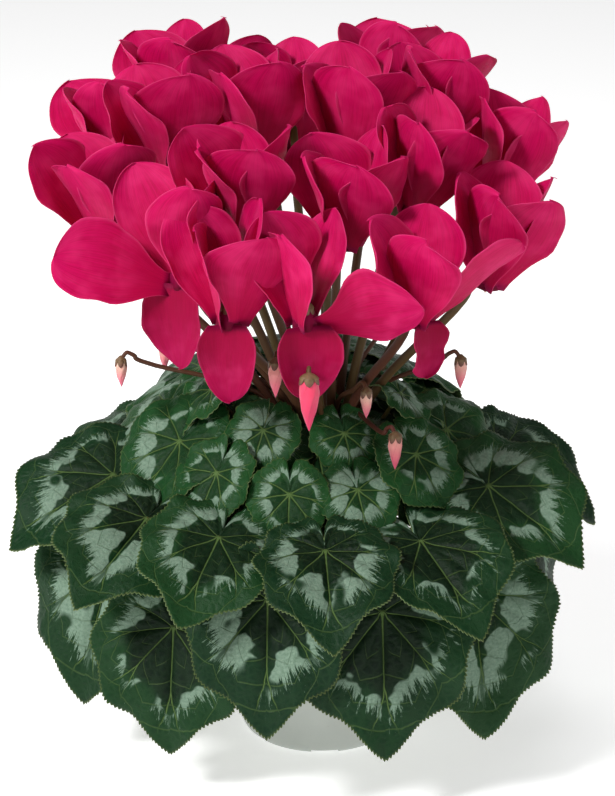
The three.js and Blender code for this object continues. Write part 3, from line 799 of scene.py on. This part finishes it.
# ---- shared leaf marks
def leaf_marks_group():
    """Masks for veins, net, silver band, dark heart and pale margin, read from a leaf's maps."""
    g, (polar, flat, seed, size), sink = tree_group(
        "leaf marks", "ShaderNodeTree",
        [("Polar", "Vector"), ("Flat", "Vector"), ("Seed", "Float", 0.0), ("Size", "Float", 0.7)],
        [(label, "Float") for label in ("Vein", "Net", "Silver", "Heart", "Margin")])
    across, share, _ = g.parts(polar)
    angle = (across - 0.5) * (2 * math.pi)
    seeded = g.combine(seed * 37.0, seed * 11.0)
    flat = g.wire("ShaderNodeVectorMath", {"operation": "ADD"}, i0=flat, i1=seeded)
    wander = (g.noise(flat, 9.0, 2.0) - 0.5) * 0.22

    # main veins fan out from the petiole, bend a little toward the tip and fork beyond halfway
    turn = angle * share.scaled(0.1, 1.0) / VEIN_SPREAD + wander * (share * 0.6)
    between = turn.from_whole()
    forked = abs(between - g.math("MAXIMUM", share - FORK_SHARE, 0.0) * FORK_RATE)
    gap = forked * VEIN_SPREAD * (share * size * 60.0)
    main = g.fade(gap / share.scaled(-0.30, 0.50), 0.35, 1.3) * g.fade(share, 0.70, 0.95)
    main = main * g.fade(abs(angle), 2.6, 2.8)  # none in the gap behind the petiole

    # side veins: chevrons that climb away from each main vein
    climb = between.scaled(-0.42, share) + wander * 0.2
    side = g.fade((climb * 5.0).from_whole(), 0.012, 0.05) * g.step(share, 0.2, 0.4)
    vein = g.math("MAXIMUM", main, side * 0.35)

    # the finest net
    net = g.fade(g.cells(flat, 24.0), 0.0, 0.35)

    # silver blotches between the veins: rounded toward the petiole, spiked toward the margin
    rays = g.combine(seed.scaled(50.0, angle * 11.0), share * 1.6)
    spikes = g.noise(rays, 2.3, 5.0, 0.8) ** 3.2
    cloud = (g.noise(flat, 7.0, 2.0) - 0.5) * 0.5
    shy = g.fade(between, 0.0, 0.26) * 0.10
    lopsided = g.math("SINE", seed.scaled(40.0, angle))
    start = lopsided.scaled(0.10, (seed ** 4.0).scaled(-0.22, 0.53))
    inner = g.step(share + cloud - shy - start, -0.012, 0.03)
    stop = spikes.scaled(1.15, cloud.scaled(-0.30, 0.59))
    outer = g.fade(share - stop, -0.02, 0.02)
    gate = g.step(g.noise(flat, 4.6, 1.0), 0.38, 0.46)
    broken = g.step(between, 0.02, 0.07).scaled(0.75, 0.25)
    silver = inner * outer * (gate * broken)
    heart = g.fade(share - start, -0.08, 0.10)
    margin = g.step(share, 0.982, 0.998)
    for number, mask in enumerate((vein, net, silver, heart, margin)):
        g.feed(sink, f"i{number}", mask)
    return g.tree


def leaf_marks(g, group):
    """The shared masks by name, in a leaf's own material, and the leaf's flat map."""
    flat = g.uv("flat")
    node = g.node("ShaderNodeGroup", {"node_tree": group}, Polar=g.uv("polar"), Flat=flat,
                  Seed=g.attribute("leaf_seed"), Size=g.attribute("leaf_size"))
    return {socket.name: Wire(g, socket) for socket in node.outputs}, flat


def leaf_top_material(group):
    """Dark green marbled with silver; age 0 is a young leaf's colour and 1 an old one's."""
    g = Surface("leaf top", 0.4, Specular_IOR_Level=0.09)
    marks, flat = leaf_marks(g, group)
    age = g.attribute("leaf_age")
    mottle = g.noise(flat, 30.0, 4.0)
    young = g.mix(mottle, (14, 52, 21), (27, 73, 32))
    old = g.mix(mottle, (7, 28, 16), (15, 43, 25))
    tone = g.math("FRACT", g.attribute("leaf_seed") * 7.3)
    green = g.mix(tone * 0.4, g.mix(age, young, old), (34, 74, 34))
    young_heart = g.mix(mottle, (14, 44, 20), (26, 60, 30))
    old_heart = g.mix(mottle, (6, 20, 11), (13, 32, 18))
    silver = g.mix(g.noise(flat, 60.0, 4.0, 0.6), (66, 96, 74), (148, 170, 152))
    vein = g.mix(marks["Silver"], (88, 112, 60), (52, 78, 46))
    g.paint(g.mix(marks["Heart"], green, g.mix(age, young_heart, old_heart)))
    g.stain(marks["Silver"] * 0.85, silver)
    g.stain(marks["Net"] * 0.06, (70, 98, 60))
    g.stain(marks["Vein"] * 0.7, vein)
    g.stain(marks["Margin"] * 0.55, (96, 108, 60))
    height = marks["Vein"] * -0.8 + marks["Net"] * -0.2 + g.noise(flat, 160.0, 3.0) * 0.3
    g.bump(height, 0.8, 0.0012)
    return g.material


def leaf_under_material(group):
    g = Surface("leaf underside", 0.6, Specular_IOR_Level=0.3)
    marks, flat = leaf_marks(g, group)
    g.paint(g.mix(g.noise(flat, 26.0, 4.0), (84, 110, 66), (108, 132, 84)))
    g.stain(marks["Vein"] * 0.6, (140, 126, 92))
    g.stain(marks["Net"] * 0.25, (124, 118, 80))
    g.bump(marks["Vein"] + marks["Net"], 0.5, 0.0008)
    return g.material


# ---- petals, stalks, pot and soil
def petal_material():
    """Deep magenta with fine streaks along it and a dark eye at the tube; a painted highlight on
    the rim, a painted sheen mid-petal and painted shade on hanging petals.
    """
    g = Surface("petal", 0.62, Specular_IOR_Level=0.1, Sheen_Weight=0.28, Sheen_Roughness=0.35,
                Sheen_Tint=rgb(255, 90, 150), Subsurface_Weight=0.12, Subsurface_Scale=0.003,
                Subsurface_Radius=(1.0, 0.15, 0.35))
    across, along, _ = g.parts(g.uv("petal"))
    seed = g.attribute("petal_seed")
    centre = across - 0.5
    fan = centre * along.scaled(26.0, 44.0)
    streak = g.noise(g.combine(seed.scaled(90.0, fan), along * 3.0), 1.0, 3.0, 0.6)
    cloud = g.noise(g.combine(seed.scaled(40.0, across * 3.0), along * 4.0), 1.0, 2.0)
    g.paint(g.mix(g.step(along, 0.05, 1.0), (174, 0, 64), (196, 6, 88)))
    g.stain(g.step(streak, 0.35, 0.75) * 0.6, (148, 0, 50))
    # painted sheen: a pale pink cloud over the middle of each petal stands in for the light it
    # catches
    haze = g.step(cloud, 0.4, 0.75) * g.step(along, 0.15, 0.6)
    g.stain(haze * 0.5, (218, 46, 112))
    # painted highlight: a paler band along each petal's edge
    rim = g.step(abs(centre), 0.465, 0.5)
    g.stain(rim * 0.3, (228, 84, 140))
    eye = g.fade(streak.scaled(-0.08, along), -0.02, 0.07)
    g.stain(eye * 0.8, (118, 2, 58))
    # the dark colour of the tube and its rim; on hanging petals the same colour is painted shade
    g.stain(g.attribute("tube"), (96, 0, 34))
    g.bump(streak, 0.22, 0.0006)
    through = g.wire("ShaderNodeBsdfTranslucent", Color=g.mix(0.5, g.colour, (255, 30, 110)))
    own = Wire(g, g.shader.outputs[0])
    blend = g.wire("ShaderNodeMixShader", i0=0.12, i1=own, i2=through)
    g.feed(g.tree.nodes["Material Output"], "Surface", blend)
    return g.material


def bud_material():
    """Pale pink on small buds and magenta on large ones, with a dark seam at each fold."""
    g = Surface("bud", 0.55, Sheen_Weight=0.25, Sheen_Roughness=0.5, Subsurface_Weight=0.2,
                Subsurface_Scale=0.003, Subsurface_Radius=(1.0, 0.3, 0.3))
    share, fold = g.attribute("bud_share"), g.parts(g.uv("petal"))[0]
    pale = g.mix(g.step(share, 0.0, 0.9), (218, 182, 158), (222, 104, 128))
    ripe = g.mix(g.step(share, 0.0, 0.8), (216, 50, 88), (196, 4, 76))
    g.paint(g.mix(g.step(g.attribute("bud_age"), 0.05, 0.8), pale, ripe))
    g.stain(g.step(fold, 0.86, 0.98) * 0.5, (150, 30, 60))
    return g.material


def style_material():
    g = Surface("style", 0.5)
    g.paint(rgb(214, 170, 150))
    return g.material


def stalk_material():
    """Petioles and flower stalks, olive where the tint is 0 and red-brown where it is 1."""
    g = Surface("stalk", 0.5, Specular_IOR_Level=0.25)
    tint = g.attribute("tint")
    mottle = g.noise(g.place(), 420.0, 3.0)
    lower = g.mix(tint, (86, 74, 38), g.mix(mottle, (66, 32, 26), (92, 54, 38)))
    upper = g.mix(tint, (88, 92, 40), (90, 40, 34))
    g.paint(g.mix(g.step(g.attribute("along"), 0.25, 0.8), lower, upper))
    g.stain(mottle * 0.4, (58, 30, 24))
    g.bump(mottle, 0.25, 0.0004)
    return g.material


def calyx_material():
    g = Surface("calyx", 0.55)
    mottle = g.noise(g.place(), 600.0, 4.0)
    g.paint(g.mix(mottle, (96, 62, 44), (120, 104, 62)))
    g.stain(g.attribute("sepal"), (92, 44, 40))
    g.bump(mottle, 0.3, 0.0004)
    return g.material


def pot_material():
    """Off-white moulded plastic with a faint haze of dust and water marks."""
    g = Surface("pot", 0.42, Specular_IOR_Level=0.45)
    place = g.place()
    haze = g.noise(place, 22.0, 4.0, 0.6)
    g.paint(g.mix(haze, (174, 181, 174), (196, 200, 194)))
    specks = g.step(g.noise(place, 420.0, 2.0), 0.70, 0.78)
    g.stain(specks * 0.2, (120, 122, 112))
    g.feed(g.shader, "Roughness", haze.scaled(0.2, 0.34))
    g.bump(g.noise(place, 900.0, 2.0), 0.08, 0.0003)
    return g.material


def soil_material(name, dark, light):
    g = Surface(name, 0.95, Specular_IOR_Level=0.15)
    place = g.place()
    g.paint(g.mix(g.noise(place, 260.0, 5.0, 0.65), dark, light))
    g.bump(g.noise(place, 700.0, 4.0), 0.6, 0.001)
    return g.material


def tuber_material():
    """Corky brown, darker and deeper in the cracks."""
    g = Surface("tuber", 0.85, Specular_IOR_Level=0.2)
    place = g.place()
    bark = g.cells(place, 260.0)
    g.paint(g.mix(g.noise(place, 150.0, 5.0), (74, 54, 40), (128, 100, 72)))
    g.stain(g.step(bark, 0.12, 0.0), (48, 34, 26))
    g.bump(g.step(bark, 0.0, 0.2), 0.6, 0.0008)
    return g.material


# ---- grown pieces: stalks and crumbs
def end_tree(g, sink, geometry, material):
    """Ends a geometry tree: everything is made real and gets its material."""
    real = g.wire("GeometryNodeRealizeInstances", Geometry=geometry)
    g.feed(sink, "i0", g.wire("GeometryNodeSetMaterial", Geometry=real, Material=material))
    return g.tree


def stalk_tree():
    """Turns drawn paths into round stalks whose radius is stored along each path."""
    g, (paths, sides, material), sink = tree_group(
        "round stalks", "GeometryNodeTree",
        [("Paths", "Geometry"), ("Sides", "Int", 10), ("Material", "Material")],
        [("Stalks", "Geometry")])
    curve = g.wire("GeometryNodeMeshToCurve", Mesh=paths)
    circle = g.wire("GeometryNodeCurvePrimitiveCircle", Resolution=sides, Radius=1.0)
    tube = g.wire("GeometryNodeCurveToMesh", Curve=curve, Profile_Curve=circle,
                  Scale=g.stored("thick"), Fill_Caps=True)
    return end_tree(g, sink, tube, material)


def crumb_tree():
    """Scatters small lumps over the open soil; only the lumps are put out."""
    g, (ground, density, smallest, largest, radius, seed, material), sink = tree_group(
        "crumbs", "GeometryNodeTree",
        [("Ground", "Geometry"), ("Density", "Float", 60000.0), ("Smallest", "Float", 0.4),
         ("Largest", "Float", 1.6), ("Crumb Radius", "Float", 0.001), ("Seed", "Int", 7),
         ("Material", "Material")],
        [("Crumbs", "Geometry")])
    bare = g.math("GREATER_THAN", g.stored("open_soil"), 0.5)
    points = g.wire("GeometryNodeDistributePointsOnFaces", Mesh=ground, Selection=bare,
                    Density=density, Seed=seed)
    ball = g.wire("GeometryNodeMeshIcoSphere", Radius=radius, Subdivisions=1)
    where = g.wire("GeometryNodeInputPosition")
    dents = g.wire("ShaderNodeTexNoise", None, 1, Vector=where, Scale=900.0)
    push = g.wire("ShaderNodeVectorMath", {"operation": "SCALE"}, i0=dents, Scale=0.0008)
    lump = g.wire("GeometryNodeSetPosition", Geometry=ball, Offset=push)
    turn = g.wire("FunctionNodeRandomValue", {"data_type": "FLOAT_VECTOR"}, i0=(0.0, 0.0, 0.0),
                  i1=(6.28, 6.28, 6.28), Seed=5)
    size = g.wire("FunctionNodeRandomValue", {"data_type": "FLOAT"}, 1, i2=smallest, i3=largest,
                  Seed=seed)
    crumbs = g.wire("GeometryNodeInstanceOnPoints", Points=points, Instance=lump, Rotation=turn,
                    Scale=size)
    return end_tree(g, sink, crumbs, material)


def made_plain(name, carrier, modifier):
    """The mesh that an object's modifier makes of it; the object is taken away."""
    bpy.context.view_layer.update()
    graph = bpy.context.evaluated_depsgraph_get()
    mesh = bpy.data.meshes.new_from_object(carrier.evaluated_get(graph), depsgraph=graph)
    mesh.name = name
    carrier.modifiers.remove(modifier)
    bpy.data.objects.remove(carrier)
    return mesh


def grown(name, seed_mesh, group, settings):
    """Runs a geometry tree on a mesh and returns the plain mesh it makes."""
    carrier = add_object(name + "_carrier", seed_mesh)
    modifier = carrier.modifiers.new("grow", "NODES")
    modifier.node_group = group
    for item in group.interface.items_tree:
        if item.item_type == "SOCKET" and item.in_out == "INPUT" and item.name in settings:
            modifier[item.identifier] = settings[item.name]
    return made_plain(name, carrier, modifier)


def stalk_piece(name, paths, sides, tree, material, *nodes):
    """Stalks as one piece; each has a path, a radius at its root and tip, and a tint."""
    points, edges, thick, along, tint = [], [], [], [], []
    for path, root, tip, tone in paths:
        start, n = len(points), len(path)
        share = np.linspace(0, 1, n)
        points += (path * MM).tolist()
        edges += [(start + k, start + k + 1) for k in range(n - 1)]
        thick += ((root + (tip - root) * share) * MM).tolist()
        along += share.tolist()
        tint += [tone] * n
    drawn = bpy.data.meshes.new(name + "_paths")
    drawn.from_pydata(points, edges, [])
    for key, values in (("thick", thick), ("along", along), ("tint", tint)):
        store(drawn, key, values)
    mesh = grown(name, drawn, tree, {"Sides": sides, "Material": material})
    shade_smooth(mesh)
    piece_of(name, mesh, [], "stalk", *nodes)


# ---- pot
def wall_radius(z):
    share = (z - POT.shoulder_height) / (POT.height - POT.shoulder_height)
    return POT.shoulder + (POT.rim - 2 - POT.shoulder) * share


def pot_profile():
    """Half section of the pot, walked up the outside and down the inside."""
    outer, inner, floor = POT.foot_outer, POT.foot_inner, POT.floor
    rim, height, wall = POT.rim, POT.height, POT.wall
    low, lip = POT.shoulder_height, height - POT.lip
    points = [(0, 0), (POT.centre_foot, 0), (POT.centre_foot + 1, floor),
              (inner - 1, floor), (inner, 0), (outer, 0)]
    for k in range(1, 13):
        t = k / 12 * math.pi / 2
        points.append((outer + (POT.shoulder - outer) * math.sin(t), low * (1 - math.cos(t))))
    points += [(wall_radius(z), z) for z in (40, 60, 80, lip - 0.6)]
    points += [(wall_radius(lip) + 0.3, lip), (rim - 0.9, lip + 0.4), (rim - 0.2, lip + 1.2),
               (rim, height - 1.2), (rim - 0.3, height - 0.3), (rim - 1, height),
               (wall_radius(height) - wall, height - 0.5)]
    points += [(wall_radius(z) - wall, z) for z in (80, 60, 40, low)]
    return points + [(outer + 1, floor + 5), (outer - 4, floor + 2), (0, floor + 2)]


def cutter_mesh():
    """Notches in the foot ring and drain holes through the floor, as one cutting mesh."""
    cutter = bmesh.new()
    for k in range(POT.notches):
        angle = math.radians(POT.notch_turn + 360 // POT.notches * k)
        where = Matrix.Rotation(angle, 4, "Z") @ Matrix.Translation((POT.foot_outer, 0, 0))
        size = Matrix.Diagonal((*POT.notch_size, 1))
        bmesh.ops.create_cube(cutter, size=1, matrix=where @ size)
    ring = POT.drain_ring
    for k in range(POT.drains):
        angle = math.radians(POT.drain_turn + 360 // POT.drains * k)
        where = Matrix.Translation((ring * math.cos(angle), ring * math.sin(angle), POT.floor))
        bmesh.ops.create_cone(cutter, cap_ends=True, segments=32, radius1=POT.drain_radius,
                              radius2=POT.drain_radius, depth=12, matrix=where)
    bmesh.ops.scale(cutter, vec=(MM, MM, MM), verts=cutter.verts)
    mesh = bpy.data.meshes.new("cutters")
    cutter.to_mesh(mesh)
    cutter.free()
    return mesh


def build_pot():
    shell = Shell()
    shell.add(*lathe(pot_profile(), 144))
    body = add_object("pot_blank", shell.mesh("pot_blank"))
    cutter = add_object("pot_cutters", cutter_mesh())
    cut = body.modifiers.new("cut", "BOOLEAN")
    cut.object, cut.operation, cut.solver = cutter, "DIFFERENCE", "EXACT"
    mesh = made_plain("pot_shell", body, cut)
    bpy.data.objects.remove(cutter)
    mesh.materials.clear()
    shade_smooth(mesh)
    mesh.set_sharp_from_angle(angle=math.radians(38))
    piece_of("pot_shell", mesh, [pot_material()], "pot", "pot")


# ---- soil and tuber
def soil_mesh(name):
    """A filled plug with a low uneven mound; the open top is marked for the crumbs."""
    edge = wall_radius(SOIL_TOP) - POT.wall - 0.8
    profile = [(0, 5.4), (37, 5.4), (42.4, 9), (47.6, 22), (edge, SOIL_TOP)]
    mound = [(edge - 1.0, 0.6), (50, 0.8), (45, 1.4), (40, 1.8), (35, 2.2), (30, 2.6), (25, 2.9),
             (20, 3.0), (14, 3.0), (8, 3.0), (0, 3.0)]
    points, faces = lathe(profile + [(r, SOIL_TOP + rise) for r, rise in mound], 72)
    x, y = points[:, 0], points[:, 1]
    above = (points[:, 2] > SOIL_TOP + 0.3) & (np.hypot(x, y) > 0.5)
    lift = 1.1 * ripple(x, y, 2.0) + 0.6 * ripple(x * 2, y * 2, 5.0)
    points[above, 2] += lift[above]
    shell = Shell()
    shell.add(points, faces, 0, None, {"open_soil": above * 1.0})
    return shell.mesh(name)


def build_soil():
    ground = soil_material("soil", (36, 27, 21), (84, 64, 48))
    grit = soil_material("grit", (150, 142, 128), (196, 190, 176))
    piece_of("soil_bed", soil_mesh("soil_bed"), [ground], "soil", "soil")
    tree = crumb_tree()
    dense = 90000.0
    for name, look, density, smallest, largest, seed in (
            ("soil_crumbs", ground, dense, 0.35, 1.5, 11),
            ("soil_grit", grit, 3500.0, 0.5, 1.1, 29)):
        settings = {"Density": density, "Smallest": smallest, "Largest": largest,
                    "Crumb Radius": 0.0011, "Seed": seed, "Material": look}
        piece_of(name, grown(name, soil_mesh(name + "_seed"), tree, settings), [], "soil", "soil")


def build_tuber():
    """The corm: a squat corky disc, wrinkled and a little lobed, half sunk in the soil."""
    radius, low, high = TUBER.radius, TUBER.bottom, TUBER.top
    profile = [(0, low), (0.35, low + 0.3), (0.7, low + 2.4), (0.88, low + 6), (0.98, low + 10),
               (1.0, low + 13), (0.97, low + 16), (0.9, low + 19), (0.76, high - 1.9),
               (0.55, high - 1.0), (0.3, high - 0.3), (0.12, high), (0, high)]
    points, faces = lathe([(r * radius, z) for r, z in profile], 96)
    angle = np.arctan2(points[:, 1], points[:, 0])
    spread = np.hypot(points[:, 0], points[:, 1])
    wrinkle = 0.5 * ripple(angle * radius, points[:, 2] * 2, 3.0) + 0.5 * np.cos(7 * angle + 1)
    points[:, :2] *= (1 + 0.02 * wrinkle * smoothstep(spread, 2, 12))[:, None]
    shell = Shell()
    shell.add(points, faces)
    piece_of("tuber_body", shell.mesh("tuber_body"), [tuber_material()], "stalk",
             "tuber_and_stalks")


# ---- stalks, buds, leaves, blooms
def build_stalks(leaves, tree, material):
    paths = [(petiole_path(leaf), *PETIOLE_RADII, 0.5 + 0.5 * draw(leaf.seed, 31))
             for leaf in leaves]
    for i, (x, y, z, lean, _) in enumerate(BLOOMS):
        path = scape_path(x, y, hook_frame(x, y, z, lean), **HOOK)
        paths.append((path, *SCAPE_RADII, 0.5 + 0.5 * draw(i, 32)))
    for i, (x, y, z, _) in enumerate(BUDS):
        path = scape_path(x, y, hook_frame(x, y, z), **BUD_HOOK)
        paths.append((path, *BUD_STALK_RADII, 0.8 + 0.2 * draw(i, 33)))
    sides = 12
    stalk_piece("stalks", paths, sides, tree, material, "tuber_and_stalks")


def build_buds_and_calyces():
    calyces, buds = Shell(), Shell()
    for x, y, z, lean, _ in BLOOMS:
        add_calyx(calyces, hook_frame(x, y, z, lean) @ raised(SEAT_HEIGHT), **CALYX)
    for x, y, z, length in BUDS:
        matrix = hook_frame(x, y, z)
        add_bud(buds, matrix, length)
        seat = matrix @ raised(BUD_SEAT_HEIGHT)
        add_calyx(calyces, seat, radius=bud_width(length) * 0.86, **BUD_CALYX)
    piece_of("calyces", calyces.mesh("calyces"), [calyx_material()], "stalk", "tuber_and_stalks")
    piece_of("buds", buds.mesh("buds"), [bud_material()], "petal", "tuber_and_stalks")


def build_small_leaves(name, leaves, materials, tree, stalk, *nodes):
    """Small leaves gathered in one piece, with their petioles in another."""
    blades = Shell()
    for leaf in leaves:
        add_blade(blades, leaf, SMALL_LEAF_TEETH)
    piece_of(name + "_blades", blades.mesh(name + "_blades"), materials, "leaf", *nodes)
    paths = [(petiole_path(leaf), *SMALL_PETIOLE_RADII, SMALL_PETIOLE_TINT) for leaf in leaves]
    stalk_piece(name + "_petioles", paths, SMALL_PETIOLE_SIDES, tree, stalk, *nodes)


def build_leaves(leaves, materials):
    teeth_per_mm = 2.0
    for leaf in leaves:
        shell = Shell()
        add_blade(shell, leaf, round(teeth_per_mm * leaf.length))
        piece_of(leaf.name + "_blade", shell.mesh(leaf.name), materials, "leaf", leaf.name)


def build_blooms(materials):
    for i, (x, y, z, lean, opened) in enumerate(BLOOMS):
        shell = Shell()
        matrix = hook_frame(x, y, z, lean)
        for shape in petal_shapes(i, opened):
            add_petal(shell, matrix, shape)
        add_corolla(shell, matrix)
        name = f"bloom_{i + 1:02d}"
        piece_of(name + "_flower", shell.mesh(name + "_flower"), materials, "petal", name)


marks = leaf_marks_group()
leaf_materials = [leaf_top_material(marks), leaf_under_material(marks)]
stalk_look = stalk_material()
stalk_nodes = stalk_tree()
tier_leaves = [leaf for tier in TIERS for leaf in leaves_of(tier)]
young_leaves = leaves_of(YOUNG)
inner_leaves = [leaf for ring in INNER for leaf in leaves_of(ring)]

build_pot()
build_soil()
build_tuber()
build_stalks(tier_leaves, stalk_nodes, stalk_look)
build_buds_and_calyces()
build_small_leaves("young", young_leaves, leaf_materials, stalk_nodes, stalk_look, "young_leaves")
build_small_leaves("inner", inner_leaves, leaf_materials, stalk_nodes, stalk_look)
build_leaves(tier_leaves, leaf_materials)
build_blooms([petal_material(), style_material()])


# ---- floor, light and camera, in metres
FLOOR_REACH = 9.0
LIGHTS = [  # name, place, height of the point it is turned to, width, power
    ("key", (-1.3, -1.2, 1.7), 0.22, 0.45, 55),
    ("fill", (1.6, -1.2, 0.9), 0.22, 1.2, 7),
    ("top", (0.1, 0.4, 2.1), 0.25, 0.9, 12),
]
ELEVATION = math.radians(20)
DISTANCE = 1.65
LENS = 166.5
AIM_HEIGHT = 0.200
SHIFT_RIGHT, SHIFT_UP = -0.00783, 0.0064  # from the pot's axis to the middle of the picture


def build_floor():
    """A wide pale floor with a glow of its own."""
    r = FLOOR_REACH
    mesh = bpy.data.meshes.new("floor")
    mesh.from_pydata([(-r, -r, 0), (r, -r, 0), (r, r, 0), (-r, r, 0)], [], [(0, 1, 2, 3)])
    look = Surface("floor", 0.9, Specular_IOR_Level=0.1, Base_Color=(0.92, 0.92, 0.92, 1),
                   Emission_Color=(1, 1, 1, 1), Emission_Strength=0.52)
    mesh.materials.append(look.material)
    floor = add_object("floor", mesh)


def turn_toward(direction):
    return direction.to_track_quat("-Z", "Y").to_euler()


def area_light(name, where, aim_height, size, power):
    light = bpy.data.lights.new(name, "AREA")
    light.shape, light.size, light.size_y, light.energy = "RECTANGLE", size, size, power
    obj = add_object(name, light)
    obj.location = where
    obj.rotation_euler = turn_toward(Vector((0, 0, aim_height)) - Vector(where))


def build_world():
    """A pale horizon under a dimmer studio ceiling."""
    world = bpy.data.worlds.new("soft white")
    world.use_nodes = True
    g = Graph(world.node_tree)
    sky = world.node_tree.nodes["Background"]
    height = g.parts(g.place("Generated"))[2]
    g.feed(sky, "Color", (1, 1, 1, 1))
    g.feed(sky, "Strength", g.step(height, 0.30, 0.12).scaled(0.74, 0.14))
    bpy.context.scene.world = world


def build_camera():
    """Looks down on the plant from the front, as the photograph does."""
    back = Vector((0, -math.cos(ELEVATION), math.sin(ELEVATION)))
    right = Vector((1, 0, 0))
    aim = Vector((0, 0, AIM_HEIGHT)) + right * SHIFT_RIGHT + back.cross(right) * SHIFT_UP
    data = bpy.data.cameras.new("camera")
    data.sensor_fit, data.sensor_width, data.lens = "HORIZONTAL", 36, LENS
    camera = add_object("camera", data)
    camera.location = aim + back * DISTANCE
    camera.rotation_euler = turn_toward(-back)
    bpy.context.scene.camera = camera


build_floor()
for light in LIGHTS:
    area_light(*light)
build_world()
bpy.context.scene.view_settings.view_transform = "Standard"
build_camera()
